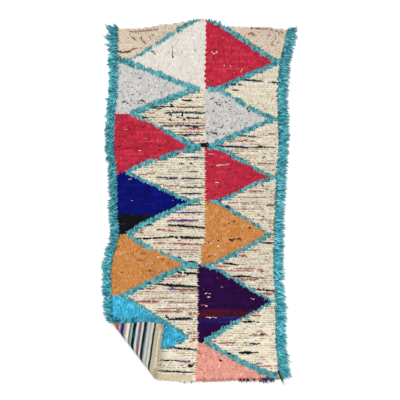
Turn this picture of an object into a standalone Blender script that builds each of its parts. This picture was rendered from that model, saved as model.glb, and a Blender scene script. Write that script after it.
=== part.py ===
"""A Berber rug lying flat, with its near left corner folded over onto the pile.

Metres, +Z up. The underside lies on z = 0 and +Y runs up the rug to its far end. The origin is on
the underside, at the middle of the rug's length and width. The rug is laid out unfolded, as it was
woven, and the corner is then turned over along a slanting line.
"""

import math
from collections import namedtuple

import bmesh
import bpy
from mathutils import Vector, noise

MM = 0.001

# Outer edges of the woven ground, from the far end to the near end
EdgeStation = namedtuple("EdgeStation", "up left right")
EDGES = [
    EdgeStation(up * MM, left * MM, right * MM)
    for up, left, right in (
        (870, -426, 464),
        (765, -426, 441),
        (690, -426, 421),
        (615, -427, 411),
        (540, -429, 404),
        (430, -440, 408),
        (270, -443, 410),
        (125, -425, 400),
        (0, -424, 393),
        (-70, -423, 391),
        (-170, -417, 389),
        (-240, -438, 386),
        (-320, -455, 386),
        (-440, -453, 393),
        (-575, -446, 397),
        (-642, -455, 397),
        (-696, -473, 398),
        (-790, -502, 408),
        (-880, -514, 417),
    )
]

# The two ends and the seam down the middle, where the colours change sides
EndStation = namedtuple("EndStation", "across up")
FAR_END = [
    EndStation(across * MM, up * MM)
    for across, up in (
        (-426, 845),
        (-282, 850),
        (-194, 865),
        (-105, 875),
        (-47, 887),
        (12, 897),
        (71, 884),
        (120, 862),
        (189, 855),
        (306, 855),
        (464, 838),
    )
]
NEAR_END = [
    EndStation(across * MM, up * MM)
    for across, up in (
        (-514, -862),
        (-414, -872),
        (-316, -877),
        (-208, -875),
        (-120, -877),
        (51, -882),
        (149, -877),
        (272, -877),
        (417, -872),
    )
]
SeamStation = namedtuple("SeamStation", "up across")
SEAM = [
    SeamStation(up * MM, across * MM)
    for up, across in (
        (900, 32),
        (540, 29),
        (0, 27),
        (-190, 22),
        (-250, 7),
        (-318, -7),
        (-680, -7),
        (-880, -20),
    )
]

# The shaggy outline zigzags down each half, from the seam to the edge and back. Each half gives its turns.
Turn = namedtuple("Turn", "across up")
ZIGZAG = {
    "left": [
        Turn(across * MM, up * MM)
        for across, up in (
            (-12, 892),
            (-385, 691),
            (-7, 551),
            (-321, 421),
            (-2, 262),
            (-350, 142),
            (-7, 0),
            (-340, -171),
            (-17, -314),
            (-380, -468),
            (-56, -661),
            (-380, -838),
        )
    ],
    "right": [
        Turn(across * MM, up * MM)
        for across, up in (
            (42, 897),
            (385, 681),
            (42, 549),
            (375, 399),
            (42, 262),
            (375, 118),
            (42, -2),
            (345, -163),
            (12, -314),
            (360, -491),
            (27, -686),
            (375, -857),
        )
    ],
}

# Colour of the pile between one leg of the zigzag and the next, from the far end
Zone = namedtuple("Zone", "left right")
ZONES = [
    Zone("plain_end", "plain_end"),
    Zone("white", "red"),
    Zone("grey", "cream"),
    Zone("cream", "grey"),
    Zone("red", "cream"),
    Zone("cream", "red"),
    Zone("navy", "cream"),
    Zone("cream", "orange"),
    Zone("orange", "cream"),
    Zone("cream", "purple"),
    Zone("sky_blue", "cream"),
    Zone("cream", "pink"),
]
PILE_COLOURS = {
    "plain_end": (0.72, 0.58, 0.42),
    "cream": (0.78, 0.70, 0.55),
    "white": (0.80, 0.76, 0.70),
    "grey": (0.62, 0.60, 0.58),
    "red": (0.62, 0.03, 0.06),
    "navy": (0.01, 0.01, 0.20),
    "orange": (0.74, 0.26, 0.06),
    "purple": (0.05, 0.01, 0.12),
    "sky_blue": (0.05, 0.42, 0.70),
    "pink": (0.85, 0.33, 0.25),
    "teal": (0.03, 0.36, 0.42),
}
ECRU = (0.70, 0.62, 0.50)
WOOL_ROUGHNESS = 0.95

# Thicknesses of the cloth with its pile
PILE = 11.5 * MM
PLAIN_END = 5.5 * MM
RIM = 8.0 * MM
RIDGE = 3.5 * MM
LUMP = 1.8 * MM
LUMP_LENGTH = 90 * MM
PRESSED_PILE = 10.0 * MM

# Layout of the field's faces: places from an edge to the seam, and rows along the zigzag's legs
SHARES = (0.0, 0.1, 0.2, 0.32, 0.44, 0.56, 0.68, 0.8, 0.9, 1.0)
COLUMNS = 2 * (len(SHARES) - 1)
RIDGE_HALF_WIDTH = 12 * MM
MOST_FLANK = 0.3
ROWS_BETWEEN = 3
LEAST_ROW = 3 * MM

# The turned corner: two points of the fold's outermost line, and the roll's outer radius
FOLD_FROM = Vector((-429 * MM, -601 * MM))
FOLD_TO = Vector((-231 * MM, -865 * MM))
FOLD_RADIUS = 17 * MM
FOLD_ARC = math.pi * FOLD_RADIUS
FOLD_FACETS = 8
CORNER_LEVEL = 26 * MM
SETTLING = 100 * MM
SETTLING_CUTS = 3
FLAP_REACH = 200 * MM
PRESSED_EDGE = 50 * MM

# Shaggy edges and the warp ends
SELVEDGE = 24.5 * MM
GAP = 0.35 * MM
SHAG_ROOT = 9.0 * MM
SHAG_CROWN = 13.0 * MM
CORNER_SHAG_CROWN = 10.0 * MM
SHAG_LENGTH = 30 * MM
SHAG_SPREAD = 7 * MM
SHAG_SLANT = 5 * MM
SHAG_OVERRUN = 8 * MM
SHAG_HANG = 10.5 * MM
END_BAND = 12 * MM
END_THICKNESS = 6.5 * MM
TICKS_PER_COLUMN = 3
TICK_LENGTH = 14 * MM
TICK_SPREAD = 4 * MM
LOOSE_END = Vector((19 * MM, 38 * MM))
TickRun = namedtuple("TickRun", "start stop")
TICK_RUNS = [TickRun(-110 * MM, -25 * MM), TickRun(190 * MM, 375 * MM)]
END_BAND_STARTS = -185 * MM
BAND_START = 0.75

LockStep = namedtuple("LockStep", "out width height")
LOCK_STEPS = (LockStep(0.35, 0.82, 0.85), LockStep(0.72, 0.5, 0.6), LockStep(1.0, 0.12, 0.3))


def clear_scene():
    for thing in list(bpy.data.objects):
        bpy.data.objects.remove(thing)


def mix(a, b, share):
    return a + (b - a) * share


def eased(share):
    share = min(max(share, 0.0), 1.0)
    return share * share * (3 - 2 * share)


def curve_at(points, place):
    """Value at a place of the smooth curve through (place, value) points in rising order."""
    if place <= points[0][0]:
        return points[0][1]
    if place >= points[-1][0]:
        return points[-1][1]
    last = len(points) - 1
    n = next(i for i in range(last) if place <= points[i + 1][0])

    def slope(i):
        before, after = points[max(i - 1, 0)], points[min(i + 1, last)]
        return (after[1] - before[1]) / (after[0] - before[0])

    (x0, y0), (x1, y1) = points[n], points[n + 1]
    step = x1 - x0
    t = (place - x0) / step
    pull0, pull1 = slope(n) * step, slope(n + 1) * step
    return (
        y0 * (2 * t**3 - 3 * t**2 + 1)
        + pull0 * (t**3 - 2 * t**2 + t)
        + y1 * (3 * t**2 - 2 * t**3)
        + pull1 * (t**3 - t**2)
    )


LEFT_EDGE = [(s.up, s.left) for s in reversed(EDGES)]
RIGHT_EDGE = [(s.up, s.right) for s in reversed(EDGES)]
SEAM_LINE = list(reversed(SEAM))


def ground_edge(side, up):
    return curve_at(LEFT_EDGE if side == "left" else RIGHT_EDGE, up)


def field_edge(side, up):
    inward = 1 if side == "left" else -1
    return ground_edge(side, up) + inward * SELVEDGE


def field_across(side, share, up):
    return mix(field_edge(side, up), curve_at(SEAM_LINE, up), share)


def leg_up(side, leg, across):
    """How far up the rug a leg of the zigzag lies. Past its turns it stays level."""
    first, second = ZIGZAG[side][leg : leg + 2]
    share = (across - first.across) / (second.across - first.across)
    return mix(first.up, second.up, min(max(share, 0.0), 1.0))


LEGS = len(ZIGZAG["left"]) - 1


def crest(side, share, leg):
    """How far up the crest of a leg lies, at a share of the way from the edge to the seam."""
    up = leg_up(side, leg, field_across(side, share, 0.0))
    for _ in range(4):
        up = leg_up(side, leg, field_across(side, share, up))
    return up


def near_field_end(across):
    """The field's near end. Past the folded corner it leaves room for the band of warp ends."""
    up = curve_at(NEAR_END, across)
    return up + END_BAND + GAP if across >= END_BAND_STARTS else up


def end_up(side, share, end):
    up = end(field_across(side, share, 0.0))
    for _ in range(4):
        up = end(field_across(side, share, up))
    return up


def far_end(across):
    return curve_at(FAR_END, across)


Row = namedtuple("Row", "up kind zone")


def rows_of(side, share):
    """The rows of one column from the far end to the near end: how far up, what they carry and their zone."""
    top, bottom = end_up(side, share, far_end), end_up(side, share, near_field_end)
    if share == 1.0:
        crests = [(crest("left", 1.0, leg) + crest("right", 1.0, leg)) / 2 for leg in range(LEGS)]
    else:
        crests = [crest(side, share, leg) for leg in range(LEGS)]
    stops = [top, *crests, bottom]
    rows = [Row(top, "rim", 0)]
    for zone in range(LEGS + 1):
        above, below = stops[zone], stops[zone + 1]
        flank = min(RIDGE_HALF_WIDTH, MOST_FLANK * abs(above - below))
        start = above - flank if zone > 0 else above
        stop = below + flank if zone < LEGS else below
        if zone > 0:
            rows.append(Row(start, "flank", zone))
        between = ROWS_BETWEEN if zone > 0 else 1
        for n in range(between):
            rows.append(Row(mix(start, stop, (n + 1) / (between + 1)), "pile", zone))
        if zone < LEGS:
            rows.append(Row(stop, "flank", zone))
            rows.append(Row(below, "crest", zone + 1))
    rows.append(Row(bottom, "rim", LEGS))
    if share == 0.0:
        last = len(rows) - 1
        return [row._replace(up=mix(top, bottom, n / last)) for n, row in enumerate(rows)]
    ups = [row.up for row in rows]
    for n in range(1, len(ups)):
        ups[n] = min(ups[n], ups[n - 1] - LEAST_ROW)
    ups[-1] = bottom
    for n in range(len(ups) - 2, 0, -1):
        ups[n] = max(ups[n], ups[n + 1] + LEAST_ROW)
    return [row._replace(up=up) for row, up in zip(rows, ups)]


FOLD_ALONG = (FOLD_TO - FOLD_FROM).normalized()
FOLD_OUT = Vector((FOLD_ALONG.y, -FOLD_ALONG.x))


def past_fold(point):
    """How far a point lies past the line where the cloth leaves the floor."""
    return (Vector((point[0], point[1])) - FOLD_FROM).dot(FOLD_OUT) + FOLD_RADIUS


def folded(point):
    """Where a point of the unfolded rug lies once its corner is turned over."""
    past = past_fold(point)
    if past <= 0:
        return Vector(point)
    height = point[2]
    if past <= FOLD_ARC:
        angle = past / FOLD_RADIUS
        radius = FOLD_RADIUS - height
        out = radius * math.sin(angle)
        level = FOLD_RADIUS - radius * math.cos(angle)
    else:
        beyond = past - FOLD_ARC
        out = -beyond
        level = mix(2 * FOLD_RADIUS, CORNER_LEVEL, eased(beyond / SETTLING)) - height
    shift = FOLD_OUT * (out - past)
    return Vector((point[0] + shift.x, point[1] + shift.y, level))


def pressed(point):
    """1 where the turned corner presses the pile, on both layers, and 0 away from it."""
    past = past_fold(point)
    if past > 0:
        return 1.0
    return eased((past + FLAP_REACH + PRESSED_EDGE) / PRESSED_EDGE)


def lump(across, up):
    return LUMP * noise.noise(Vector((across, up, 0.0)) / LUMP_LENGTH)


def thickness(row, share, across, up):
    if row.kind == "rim":
        return PLAIN_END
    if row.zone == 0:
        return PLAIN_END + 0.5 * lump(across, up)
    if share == 0.0:
        return RIM
    own = PILE + lump(across, up) + (RIDGE if row.kind == "crest" else 0.0)
    return mix(own, PRESSED_PILE + 0.3 * lump(across, up), pressed((across, up)))


def column_of(n):
    """(side, share) of the nth column, from the left edge across the seam to the right edge."""
    last = len(SHARES) - 1
    return ("left", SHARES[n]) if n <= last else ("right", SHARES[2 * last - n])


GRID = [rows_of(*column_of(n)) for n in range(COLUMNS + 1)]
ROWS = len(GRID[0]) - 1


def field_point(column, row):
    side, share = column_of(column)
    up = GRID[column][row].up
    return Vector((field_across(side, share, up), up))


def cut_for_fold(bm):
    """Adds the edges that the fold bends at, and a few where the turned corner settles."""
    places = [FOLD_ARC * n / FOLD_FACETS for n in range(FOLD_FACETS + 1)]
    places += [FOLD_ARC + SETTLING * (n + 1) / SETTLING_CUTS for n in range(SETTLING_CUTS)]
    for place in places:
        foot = FOLD_FROM + FOLD_OUT * (place - FOLD_RADIUS)
        bmesh.ops.bisect_plane(
            bm,
            geom=bm.verts[:] + bm.edges[:] + bm.faces[:],
            dist=1e-6,
            plane_co=(foot.x, foot.y, 0.0),
            plane_no=(FOLD_OUT.x, FOLD_OUT.y, 0.0),
        )


def fold_over(bm):
    for vert in bm.verts:
        vert.co = folded(vert.co)


def wool(name, colour):
    """One material, matt and dry, made once for each colour."""
    material = bpy.data.materials.get(name)
    if material is None:
        material = bpy.data.materials.new(name)
        material.use_nodes = True
        shader = material.node_tree.nodes["Principled BSDF"]
        shader.inputs["Base Color"].default_value = (*colour, 1.0)
        shader.inputs["Roughness"].default_value = WOOL_ROUGHNESS
        shader.inputs["Metallic"].default_value = 0.0
    return material


def finish(bm, name, materials):
    bmesh.ops.recalc_face_normals(bm, faces=bm.faces[:])
    cut_for_fold(bm)
    if name == "woven_field":
        merge_underside(bm)
    fold_over(bm)
    mesh = bpy.data.meshes.new(name)
    bm.to_mesh(mesh)
    bm.free()
    for material in materials:
        mesh.materials.append(material)
    piece = bpy.data.objects.new(name, mesh)
    bpy.context.scene.collection.objects.link(piece)
    return piece


def merge_underside(bm):
    """Joins the level faces that lie on the floor into one flat face."""
    level = [
        face
        for face in bm.faces
        if all(vert.co.z == 0 and past_fold(vert.co) < 1e-5 for vert in face.verts)
    ]
    bmesh.ops.dissolve_faces(bm, faces=level, use_verts=False)


def build_field():
    """The woven ground with its pile: a lumpy slab with the zigzag raised on it, in one piece."""
    names = list(PILE_COLOURS)
    bm = bmesh.new()
    height = bm.verts.layers.float.new("height")
    bmesh.ops.create_grid(bm, x_segments=COLUMNS, y_segments=ROWS, size=0.5)
    for face in bm.faces:
        middle = face.calc_center_median()
        column = int((middle.x + 0.5) * COLUMNS)
        row = int((0.5 - middle.y) * ROWS)
        side = column_of(column + (column < COLUMNS // 2))[0]
        first, second = GRID[column][row], GRID[column][row + 1]
        on_ridge = "crest" in (first.kind, second.kind)
        colour = "teal" if on_ridge else getattr(ZONES[first.zone], side)
        face.material_index = names.index(colour)
    for vert in bm.verts:
        column = round((vert.co.x + 0.5) * COLUMNS)
        row = round((0.5 - vert.co.y) * ROWS)
        point = field_point(column, row)
        share = column_of(column)[1]
        vert[height] = thickness(GRID[column][row], share, point.x, point.y)
        vert.co = (point.x, point.y, 0.0)
    raised = bmesh.ops.extrude_face_region(bm, geom=bm.faces[:])
    for vert in raised["geom"]:
        if isinstance(vert, bmesh.types.BMVert):
            vert.co.z = vert[height]
    return finish(bm, "woven_field", [wool(name, PILE_COLOURS[name]) for name in names])


# One cut across a strip: its inner edge on the field, its outer edge, and its height at each
StripStation = namedtuple("StripStation", "inner outer crown root")


def build_strip(stations):
    """A band swept from station to station. Its faces are tagged so that its outer side can be found."""
    bm = bmesh.new()
    corner = bm.verts.layers.int.new("corner")

    def corners(station):
        return (
            (*station.outer, 0.0),
            (*station.outer, station.root),
            (*station.inner, station.crown),
            (*station.inner, 0.0),
        )

    verts = [bm.verts.new(place) for place in corners(stations[0])]
    for n, vert in enumerate(verts):
        vert[corner] = n
    face = bm.faces.new(verts)
    for station in stations[1:]:
        grown = bmesh.ops.extrude_face_region(bm, geom=[face, *face.edges])
        face = next(g for g in grown["geom"] if isinstance(g, bmesh.types.BMFace))
        for vert in face.verts:
            vert.co = corners(station)[vert[corner]]
    bmesh.ops.recalc_face_normals(bm, faces=bm.faces[:])
    outer = [f for f in bm.faces if all(v[corner] < 2 for v in f.verts)]
    return bm, outer


def grow_lock(bm, face, length, slant, hang=0.0):
    """A four-sided lock drawn out of a strip's outer face, level below unless it hangs past the fold."""
    out = face.normal.copy()
    out.z = 0.0
    out.normalize()
    along = Vector((-out.y, out.x, 0.0))
    middle = face.calc_center_median()
    middle.z = 0.0
    tall = max(vert.co.z for vert in face.verts)
    half = max(abs((vert.co - middle).dot(along)) for vert in face.verts)
    droop = hang * eased(past_fold(middle) / FOLD_ARC)
    for step in LOCK_STEPS:
        face = bmesh.ops.extrude_discrete_faces(bm, faces=[face])["faces"][0]
        for vert in face.verts:
            above = vert[bm.verts.layers.int["corner"]] == 1
            side = 1 if (vert.co - middle).dot(along) > slant * step.out * 0.5 else -1
            low = droop * step.out
            sideways = slant * step.out + side * half * step.width
            vert.co = middle + out * (length * step.out) + along * sideways
            vert.co.z = low + tall * step.height * above


def wander(n, spread):
    """A length that wavers from one lock to the next, the same at each run."""
    return spread * math.sin(2.4 * n) * math.cos(0.9 * n + 0.5)


def side_stations(side, rows, crown):
    """Stations of a shaggy edge: its inner side follows the field's own points, a small gap away."""
    column = 0 if side == "left" else COLUMNS
    away = -GAP if side == "left" else GAP
    stations = []
    for row in rows:
        inner = field_point(column, row)
        outer = Vector((ground_edge(side, inner.y), inner.y))
        inner.x += away
        stations.append(StripStation(inner, outer, crown + lump(outer.x, outer.y), SHAG_ROOT))
    return stations


def build_shag(name, side, rows, crown, hang=0.0, lead=0.0):
    """A shaggy edge. lead carries its first station on past its first row, or holds it back if negative."""
    stations = side_stations(side, rows, crown)
    first, second = stations[:2]
    share = lead / (first.inner - second.inner).length
    stations[0] = first._replace(
        inner=first.inner + (first.inner - second.inner) * share,
        outer=first.outer + (first.outer - second.outer) * share,
    )
    bm, faces = build_strip(stations)
    faces.sort(key=lambda face: -face.calc_center_median().y)
    for n, face in enumerate(faces):
        grow_lock(bm, face, SHAG_LENGTH + wander(n, SHAG_SPREAD), wander(n + 3, SHAG_SLANT), hang)
    return finish(bm, name, [wool("teal", PILE_COLOURS["teal"])])


def band_station(point, depth):
    """A station of the near band: depth is how far it reaches out from the field's near end."""
    inner = point + Vector((0.0, -GAP))
    outer = point + Vector((0.0, -depth))
    return StripStation(inner, outer, END_THICKNESS, END_THICKNESS)


def build_near_band():
    """The narrow band of warp ends at the near end, with its short ticks and one long loose yarn."""
    ends = [field_point(column, ROWS) for column in range(COLUMNS + 1)]
    first = next(n for n, end in enumerate(ends) if end.x >= END_BAND_STARTS)
    places = []
    for here, there in zip(ends[first:], ends[first + 1 :]):
        places += [here.lerp(there, n / TICKS_PER_COLUMN) for n in range(TICKS_PER_COLUMN)]
    places.append(ends[-1])
    start = ends[first - 1].lerp(ends[first], BAND_START)
    taper = band_station(start, END_BAND * (1 - BAND_START) * 2)
    bm, faces = build_strip([taper] + [band_station(place, END_BAND) for place in places])
    faces.sort(key=lambda face: face.calc_center_median().x)
    for n, face in enumerate(faces[:-1]):
        across = face.calc_center_median().x
        if any(run.start < across < run.stop for run in TICK_RUNS):
            grow_lock(bm, face, TICK_LENGTH + wander(n, TICK_SPREAD), wander(n + 1, TICK_SPREAD))
    grow_lock(bm, faces[-1], LOOSE_END.y, LOOSE_END.x)
    return finish(bm, "near_end_band", [wool("ecru", ECRU)])


def row_before_fold():
    """The last row of the left edge whose locks lie clear of the fold."""
    reach = Vector((SELVEDGE + SHAG_LENGTH + SHAG_SPREAD, 0.0))
    return next(row for row in range(ROWS) if past_fold(field_point(0, row) - reach) > 0) - 1


def build_rug():
    clear_scene()
    build_field()
    turn = row_before_fold()
    build_shag("left_shag", "left", range(turn + 1), SHAG_CROWN, lead=SHAG_OVERRUN)
    build_shag("corner_shag", "left", range(turn, ROWS + 1), CORNER_SHAG_CROWN, hang=SHAG_HANG, lead=-GAP)
    build_shag("right_shag", "right", range(ROWS + 1), SHAG_CROWN, lead=SHAG_OVERRUN)
    build_near_band()


build_rug()
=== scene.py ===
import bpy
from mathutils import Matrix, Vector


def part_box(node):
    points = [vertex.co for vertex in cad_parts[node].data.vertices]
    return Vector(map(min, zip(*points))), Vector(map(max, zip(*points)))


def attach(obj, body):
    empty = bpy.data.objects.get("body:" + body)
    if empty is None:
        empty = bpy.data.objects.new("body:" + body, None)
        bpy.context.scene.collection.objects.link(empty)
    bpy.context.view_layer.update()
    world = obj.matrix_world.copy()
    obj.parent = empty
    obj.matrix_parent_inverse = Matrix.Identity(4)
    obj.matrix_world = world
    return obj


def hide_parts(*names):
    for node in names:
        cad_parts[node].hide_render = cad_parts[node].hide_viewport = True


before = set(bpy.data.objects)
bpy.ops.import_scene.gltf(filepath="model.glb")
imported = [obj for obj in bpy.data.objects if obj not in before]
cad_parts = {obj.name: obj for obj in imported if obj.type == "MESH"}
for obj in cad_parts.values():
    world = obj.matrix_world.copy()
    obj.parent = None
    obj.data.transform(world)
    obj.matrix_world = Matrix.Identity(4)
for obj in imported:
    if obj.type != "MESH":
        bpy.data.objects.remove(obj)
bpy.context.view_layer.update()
import math
from collections import namedtuple

import bmesh
import bpy
import numpy as np
from bpy.props import FloatProperty, FloatVectorProperty, PointerProperty
from mathutils import Vector, noise

bl_info = {
    "name": "Berber rug",
    "version": (1, 0, 0),
    "blender": (4, 5, 0),
    "location": "3D View > Sidebar > Rug",
    "description": "Ground, knotted pile, shaggy edges and warp ends of a Berber rug with a turned corner",
    "category": "Add Mesh",
}

BODY = "root"
MM = 0.001
UNITS = {"mm": lambda value: value * MM, "degrees": math.radians, "": lambda value: value}


def table(name, columns, rows):
    """Rows as named tuples. A column is its name, followed by a colon and its unit where it has one."""
    names, units = zip(*((column + ":").split(":")[:2] for column in columns.split()))
    row_type = namedtuple(name, names)
    return [row_type(*(UNITS[unit](value) for unit, value in zip(units, row))) for row in rows]


def linear(red, green, blue):
    """A display colour from 0 to 255 as the linear colour that a shader takes."""
    return tuple(
        c / 12.92 if c <= 0.04045 else ((c + 0.055) / 1.055) ** 2.4
        for c in (red / 255, green / 255, blue / 255)
    )


# Outline of the rug laid flat, as it was woven
EDGES = table("EdgeStation", "up:mm left:mm right:mm", [
    (870, -426, 464),
    (765, -426, 441),
    (690, -426, 421),
    (615, -427, 411),
    (540, -429, 404),
    (430, -440, 408),
    (270, -443, 410),
    (125, -425, 400),
    (0, -424, 393),
    (-70, -423, 391),
    (-170, -417, 389),
    (-240, -438, 386),
    (-320, -455, 386),
    (-440, -453, 393),
    (-575, -446, 397),
    (-642, -455, 397),
    (-696, -473, 398),
    (-790, -502, 408),
    (-880, -514, 417),
])
FAR_END = table("EndStation", "across:mm up:mm", [
    (-426, 845),
    (-282, 850),
    (-194, 865),
    (-105, 875),
    (-47, 887),
    (12, 897),
    (71, 884),
    (120, 862),
    (189, 855),
    (306, 855),
    (464, 838),
])
NEAR_END = table("EndStation", "across:mm up:mm", [
    (-514, -858),
    (-414, -869),
    (-316, -881),
    (-250, -884),
    (-208, -877),
    (-120, -877),
    (51, -882),
    (149, -877),
    (272, -877),
    (417, -872),
])
SEAM = table("SeamStation", "up:mm across:mm", [
    (900, 32),
    (540, 29),
    (0, 28),
    (-175, 28),
    (-212, 25),
    (-224, 10),
    (-302, 8),
    (-316, -8),
    (-680, -7),
    (-880, -20),
])

# Turns of the teal zigzag in each half. With each goes the leg that starts there: half its height at
# its start, middle and stop, and how far it bows up the rug at its first and last quarter
TURN_COLUMNS = "across:mm up:mm start:mm middle:mm stop:mm early:mm late:mm"
ZIGZAG = {
    "left": table("Turn", TURN_COLUMNS, [
        (-12, 892, 11, 9, 8, -5, -23),
        (-385, 689, 13, 15, 10, 4, -3),
        (-7, 551, 12, 15, 15, 2, 0),
        (-330, 430, 9, 9, 16, 2, -4),
        (-2, 262, 17, 12, 11, 13, 13),
        (-352, 142, 8, 7, 8, -6, -16),
        (-7, 0, 8, 12, 18, 14, 18),
        (-345, -165, 13, 7, 12, -16, -13),
        (-17, -314, 11, 14, 13, 18, 8),
        (-380, -468, 14, 12, 8, 4, 6),
        (-62, -664, 10, 8, 7, -10, 75),
        (-380, -828, 7, 7, 7, 0, 0),
    ]),
    "right": table("Turn", TURN_COLUMNS, [
        (44, 901, 13, 13, 11, 2, -4),
        (385, 681, 12, 13, 10, -4, -14),
        (52, 547, 7, 13, 7, 16, -4),
        (375, 402, 10, 12, 13, 6, 3),
        (50, 266, 10, 11, 5, 16, -4),
        (372, 118, 7, 10, 4, 3, -14),
        (52, 0, 5, 9, 5, 16, 13),
        (342, -166, 10, 12, 6, -8, -18),
        (20, -314, 6, 9, 5, 16, 2),
        (360, -491, 5, 9, 16, 3, 6),
        (33, -686, 12, 14, 15, -11, -10),
        (375, -858, 15, 15, 15, 0, 0),
    ]),
}

# Where a leg of the zigzag is thin or missing, and the share of its width that is left
BREAKS = table("Break", "side leg start:mm stop:mm left_over", [
    ("left", 0, -52, -36, 0.45),
    ("left", 0, -123, -112, 0.0),
    ("left", 0, -145, -136, 0.2),
    ("left", 0, -236, -214, 0.1),
    ("left", 0, -360, -284, 0.4),
    ("left", 1, -317, -310, 0.0),
    ("left", 1, -267, -256, 0.2),
    ("left", 3, -270, -190, 0.45),
    ("left", 4, -110, -72, 0.35),
    ("left", 4, -226, -190, 0.4),
    ("left", 7, -228, -198, 0.0),
    ("left", 7, -166, -150, 0.3),
    ("right", 2, 72, 104, 0.5),
    ("right", 2, 155, 178, 0.2),
    ("right", 2, 224, 242, 0.3),
    ("right", 4, 240, 262, 0.3),
    ("right", 6, 205, 262, 0.6),
    ("right", 5, 174, 196, 0.55),
    ("right", 7, 196, 216, 0.5),
    ("right", 8, 155, 167, 0.2),
    ("right", 8, 224, 238, 0.3),
    ("right", 8, 266, 284, 0.5),
    ("right", 9, 212, 230, 0.5),
    ("right", 9, 270, 282, 0.3),
])
LEGS = len(ZIGZAG["left"]) - 1
TURN_MARGIN = 9 * MM

# The steps of a leg: their length, their share of its slope, where in a step it rises, and how far they
# are shifted
STEP_LENGTH = 48 * MM
STEP_SHARE = 0.3
RISE_START, RISE_SHARE = 0.55, 0.45
STEP_SHIFT = 0.28

# Where along a leg its bow is set, and how much of the quarters' bow there is a tenth of the way from
# its turns
BOW_PLACES = (0.0, 0.1, 0.25, 0.75, 0.9, 1.0)
BOW_NEAR_TURN = 0.7

# How far a leg wanders and how much it swells, each with the length of one wave, and how far its knots
# stick out
LEG_WOBBLE, WOBBLE_WAVE = 3.5 * MM, 45 * MM
LEG_SWELL, SWELL_WAVE = 0.28, 16 * MM
FINGER, FINGER_WAVE = 5.5 * MM, 6 * MM

# Colour of the pile between one leg of the zigzag and the next, from the far end
Zone = namedtuple("Zone", "left right")
ZONES = [
    Zone("plain_end", "plain_end"),
    Zone("white", "red"),
    Zone("grey", "cream"),
    Zone("cream", "grey"),
    Zone("red", "cream"),
    Zone("cream", "red"),
    Zone("navy", "cream"),
    Zone("cream", "orange"),
    Zone("orange", "cream"),
    Zone("cream", "purple"),
    Zone("sky_blue", "cream"),
    Zone("cream", "pink"),
]

# Bands of another yarn inside a coloured field: all knots of that field between two heights
FieldBand = namedtuple("FieldBand", "field bottom top yarn")
FIELD_BANDS = [
    FieldBand("navy", -200 * MM, -62 * MM, "black"),
    FieldBand("purple", -566 * MM, -527 * MM, "maroon"),
    FieldBand("purple", -598 * MM, -566 * MM, "indigo"),
]

# The turned corner: two points of the fold's outermost line, the roll's outer radius, its reach
# sideways as a share of that, and the height to which the turned cloth sinks with the distance over
# which it does
FOLD_FROM = np.array((-429 * MM, -601 * MM))
FOLD_TO = np.array((-228 * MM, -863 * MM))
FOLD_RADIUS = 17 * MM
FOLD_ARC = math.pi * FOLD_RADIUS
ROLL_REACH = 0.7
CORNER_LEVEL = 26 * MM
SETTLING = 100 * MM
FOLD_ALONG = (FOLD_TO - FOLD_FROM) / np.linalg.norm(FOLD_TO - FOLD_FROM)
FOLD_OUT = np.array((FOLD_ALONG[1], -FOLD_ALONG[0]))

# Width of the selvedge under the shag, of the plain band at the near end and of the coloured tip at the
# far end
SELVEDGE = 24.5 * MM
NEAR_PLAIN = 30 * MM
APEX_WIDTH = 42 * MM

# The woven ground: its top, its yarns' distances, and how far from the near end its stripes are drawn
GROUND_TOP = 3.0 * MM
WEFT_PITCH = 5.2 * MM
WARP_PITCH = 9.0 * MM
STRIPED = 260 * MM

# Heights between which stiff locks stay, and by what share pile is pressed down under the turned corner
LEAST_HEIGHT = 0.4 * MM
GREATEST_HEIGHT = 33 * MM
PRESSED = 0.35
CORNER_MARGIN = 25 * MM


def sampled(points):
    """Close samples of the smooth curve through (place, value) points in rising order."""
    places, values = (np.array(column, float) for column in zip(*points))
    slopes = np.gradient(values, places)
    fine = np.linspace(places[0], places[-1], 40 * len(places))
    n = np.clip(np.searchsorted(places, fine) - 1, 0, len(places) - 2)
    step = places[n + 1] - places[n]
    t = (fine - places[n]) / step
    curve = (
        values[n] * (2 * t**3 - 3 * t**2 + 1)
        + slopes[n] * step * (t**3 - 2 * t**2 + t)
        + values[n + 1] * (3 * t**2 - 2 * t**3)
        + slopes[n + 1] * step * (t**3 - t**2)
    )
    return fine, curve


LEFT_EDGE = sampled([(s.up, s.left) for s in reversed(EDGES)])
RIGHT_EDGE = sampled([(s.up, s.right) for s in reversed(EDGES)])
SEAM_LINE = tuple(np.array(column) for column in zip(*reversed(SEAM)))
FAR_LINE = sampled(FAR_END)
NEAR_LINE = sampled(NEAR_END)


def along(line, place):
    return np.interp(place, *line)


def eased(share):
    share = np.clip(share, 0.0, 1.0)
    return share * share * (3 - 2 * share)


def past_fold(across, up):
    """How far a point of the flat rug lies past the line where the cloth leaves the floor."""
    return (across - FOLD_FROM[0]) * FOLD_OUT[0] + (up - FOLD_FROM[1]) * FOLD_OUT[1] + FOLD_RADIUS


def folded(across, up, height):
    """Where points of the flat rug lie once its corner is turned over."""
    past = past_fold(across, up)
    angle = np.clip(past, 0.0, FOLD_ARC) / FOLD_RADIUS
    radius = FOLD_RADIUS - height
    beyond = np.maximum(past - FOLD_ARC, 0.0)
    out = ROLL_REACH * radius * np.sin(angle) - beyond
    level = FOLD_RADIUS - radius * np.cos(angle)
    level = level - (2 * FOLD_RADIUS - CORNER_LEVEL) * eased(beyond / SETTLING)
    shift = np.where(past > 0, out - past, 0.0)
    return np.stack(
        [across + shift * FOLD_OUT[0], up + shift * FOLD_OUT[1], np.where(past > 0, level, height)],
        axis=-1,
    )


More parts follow.
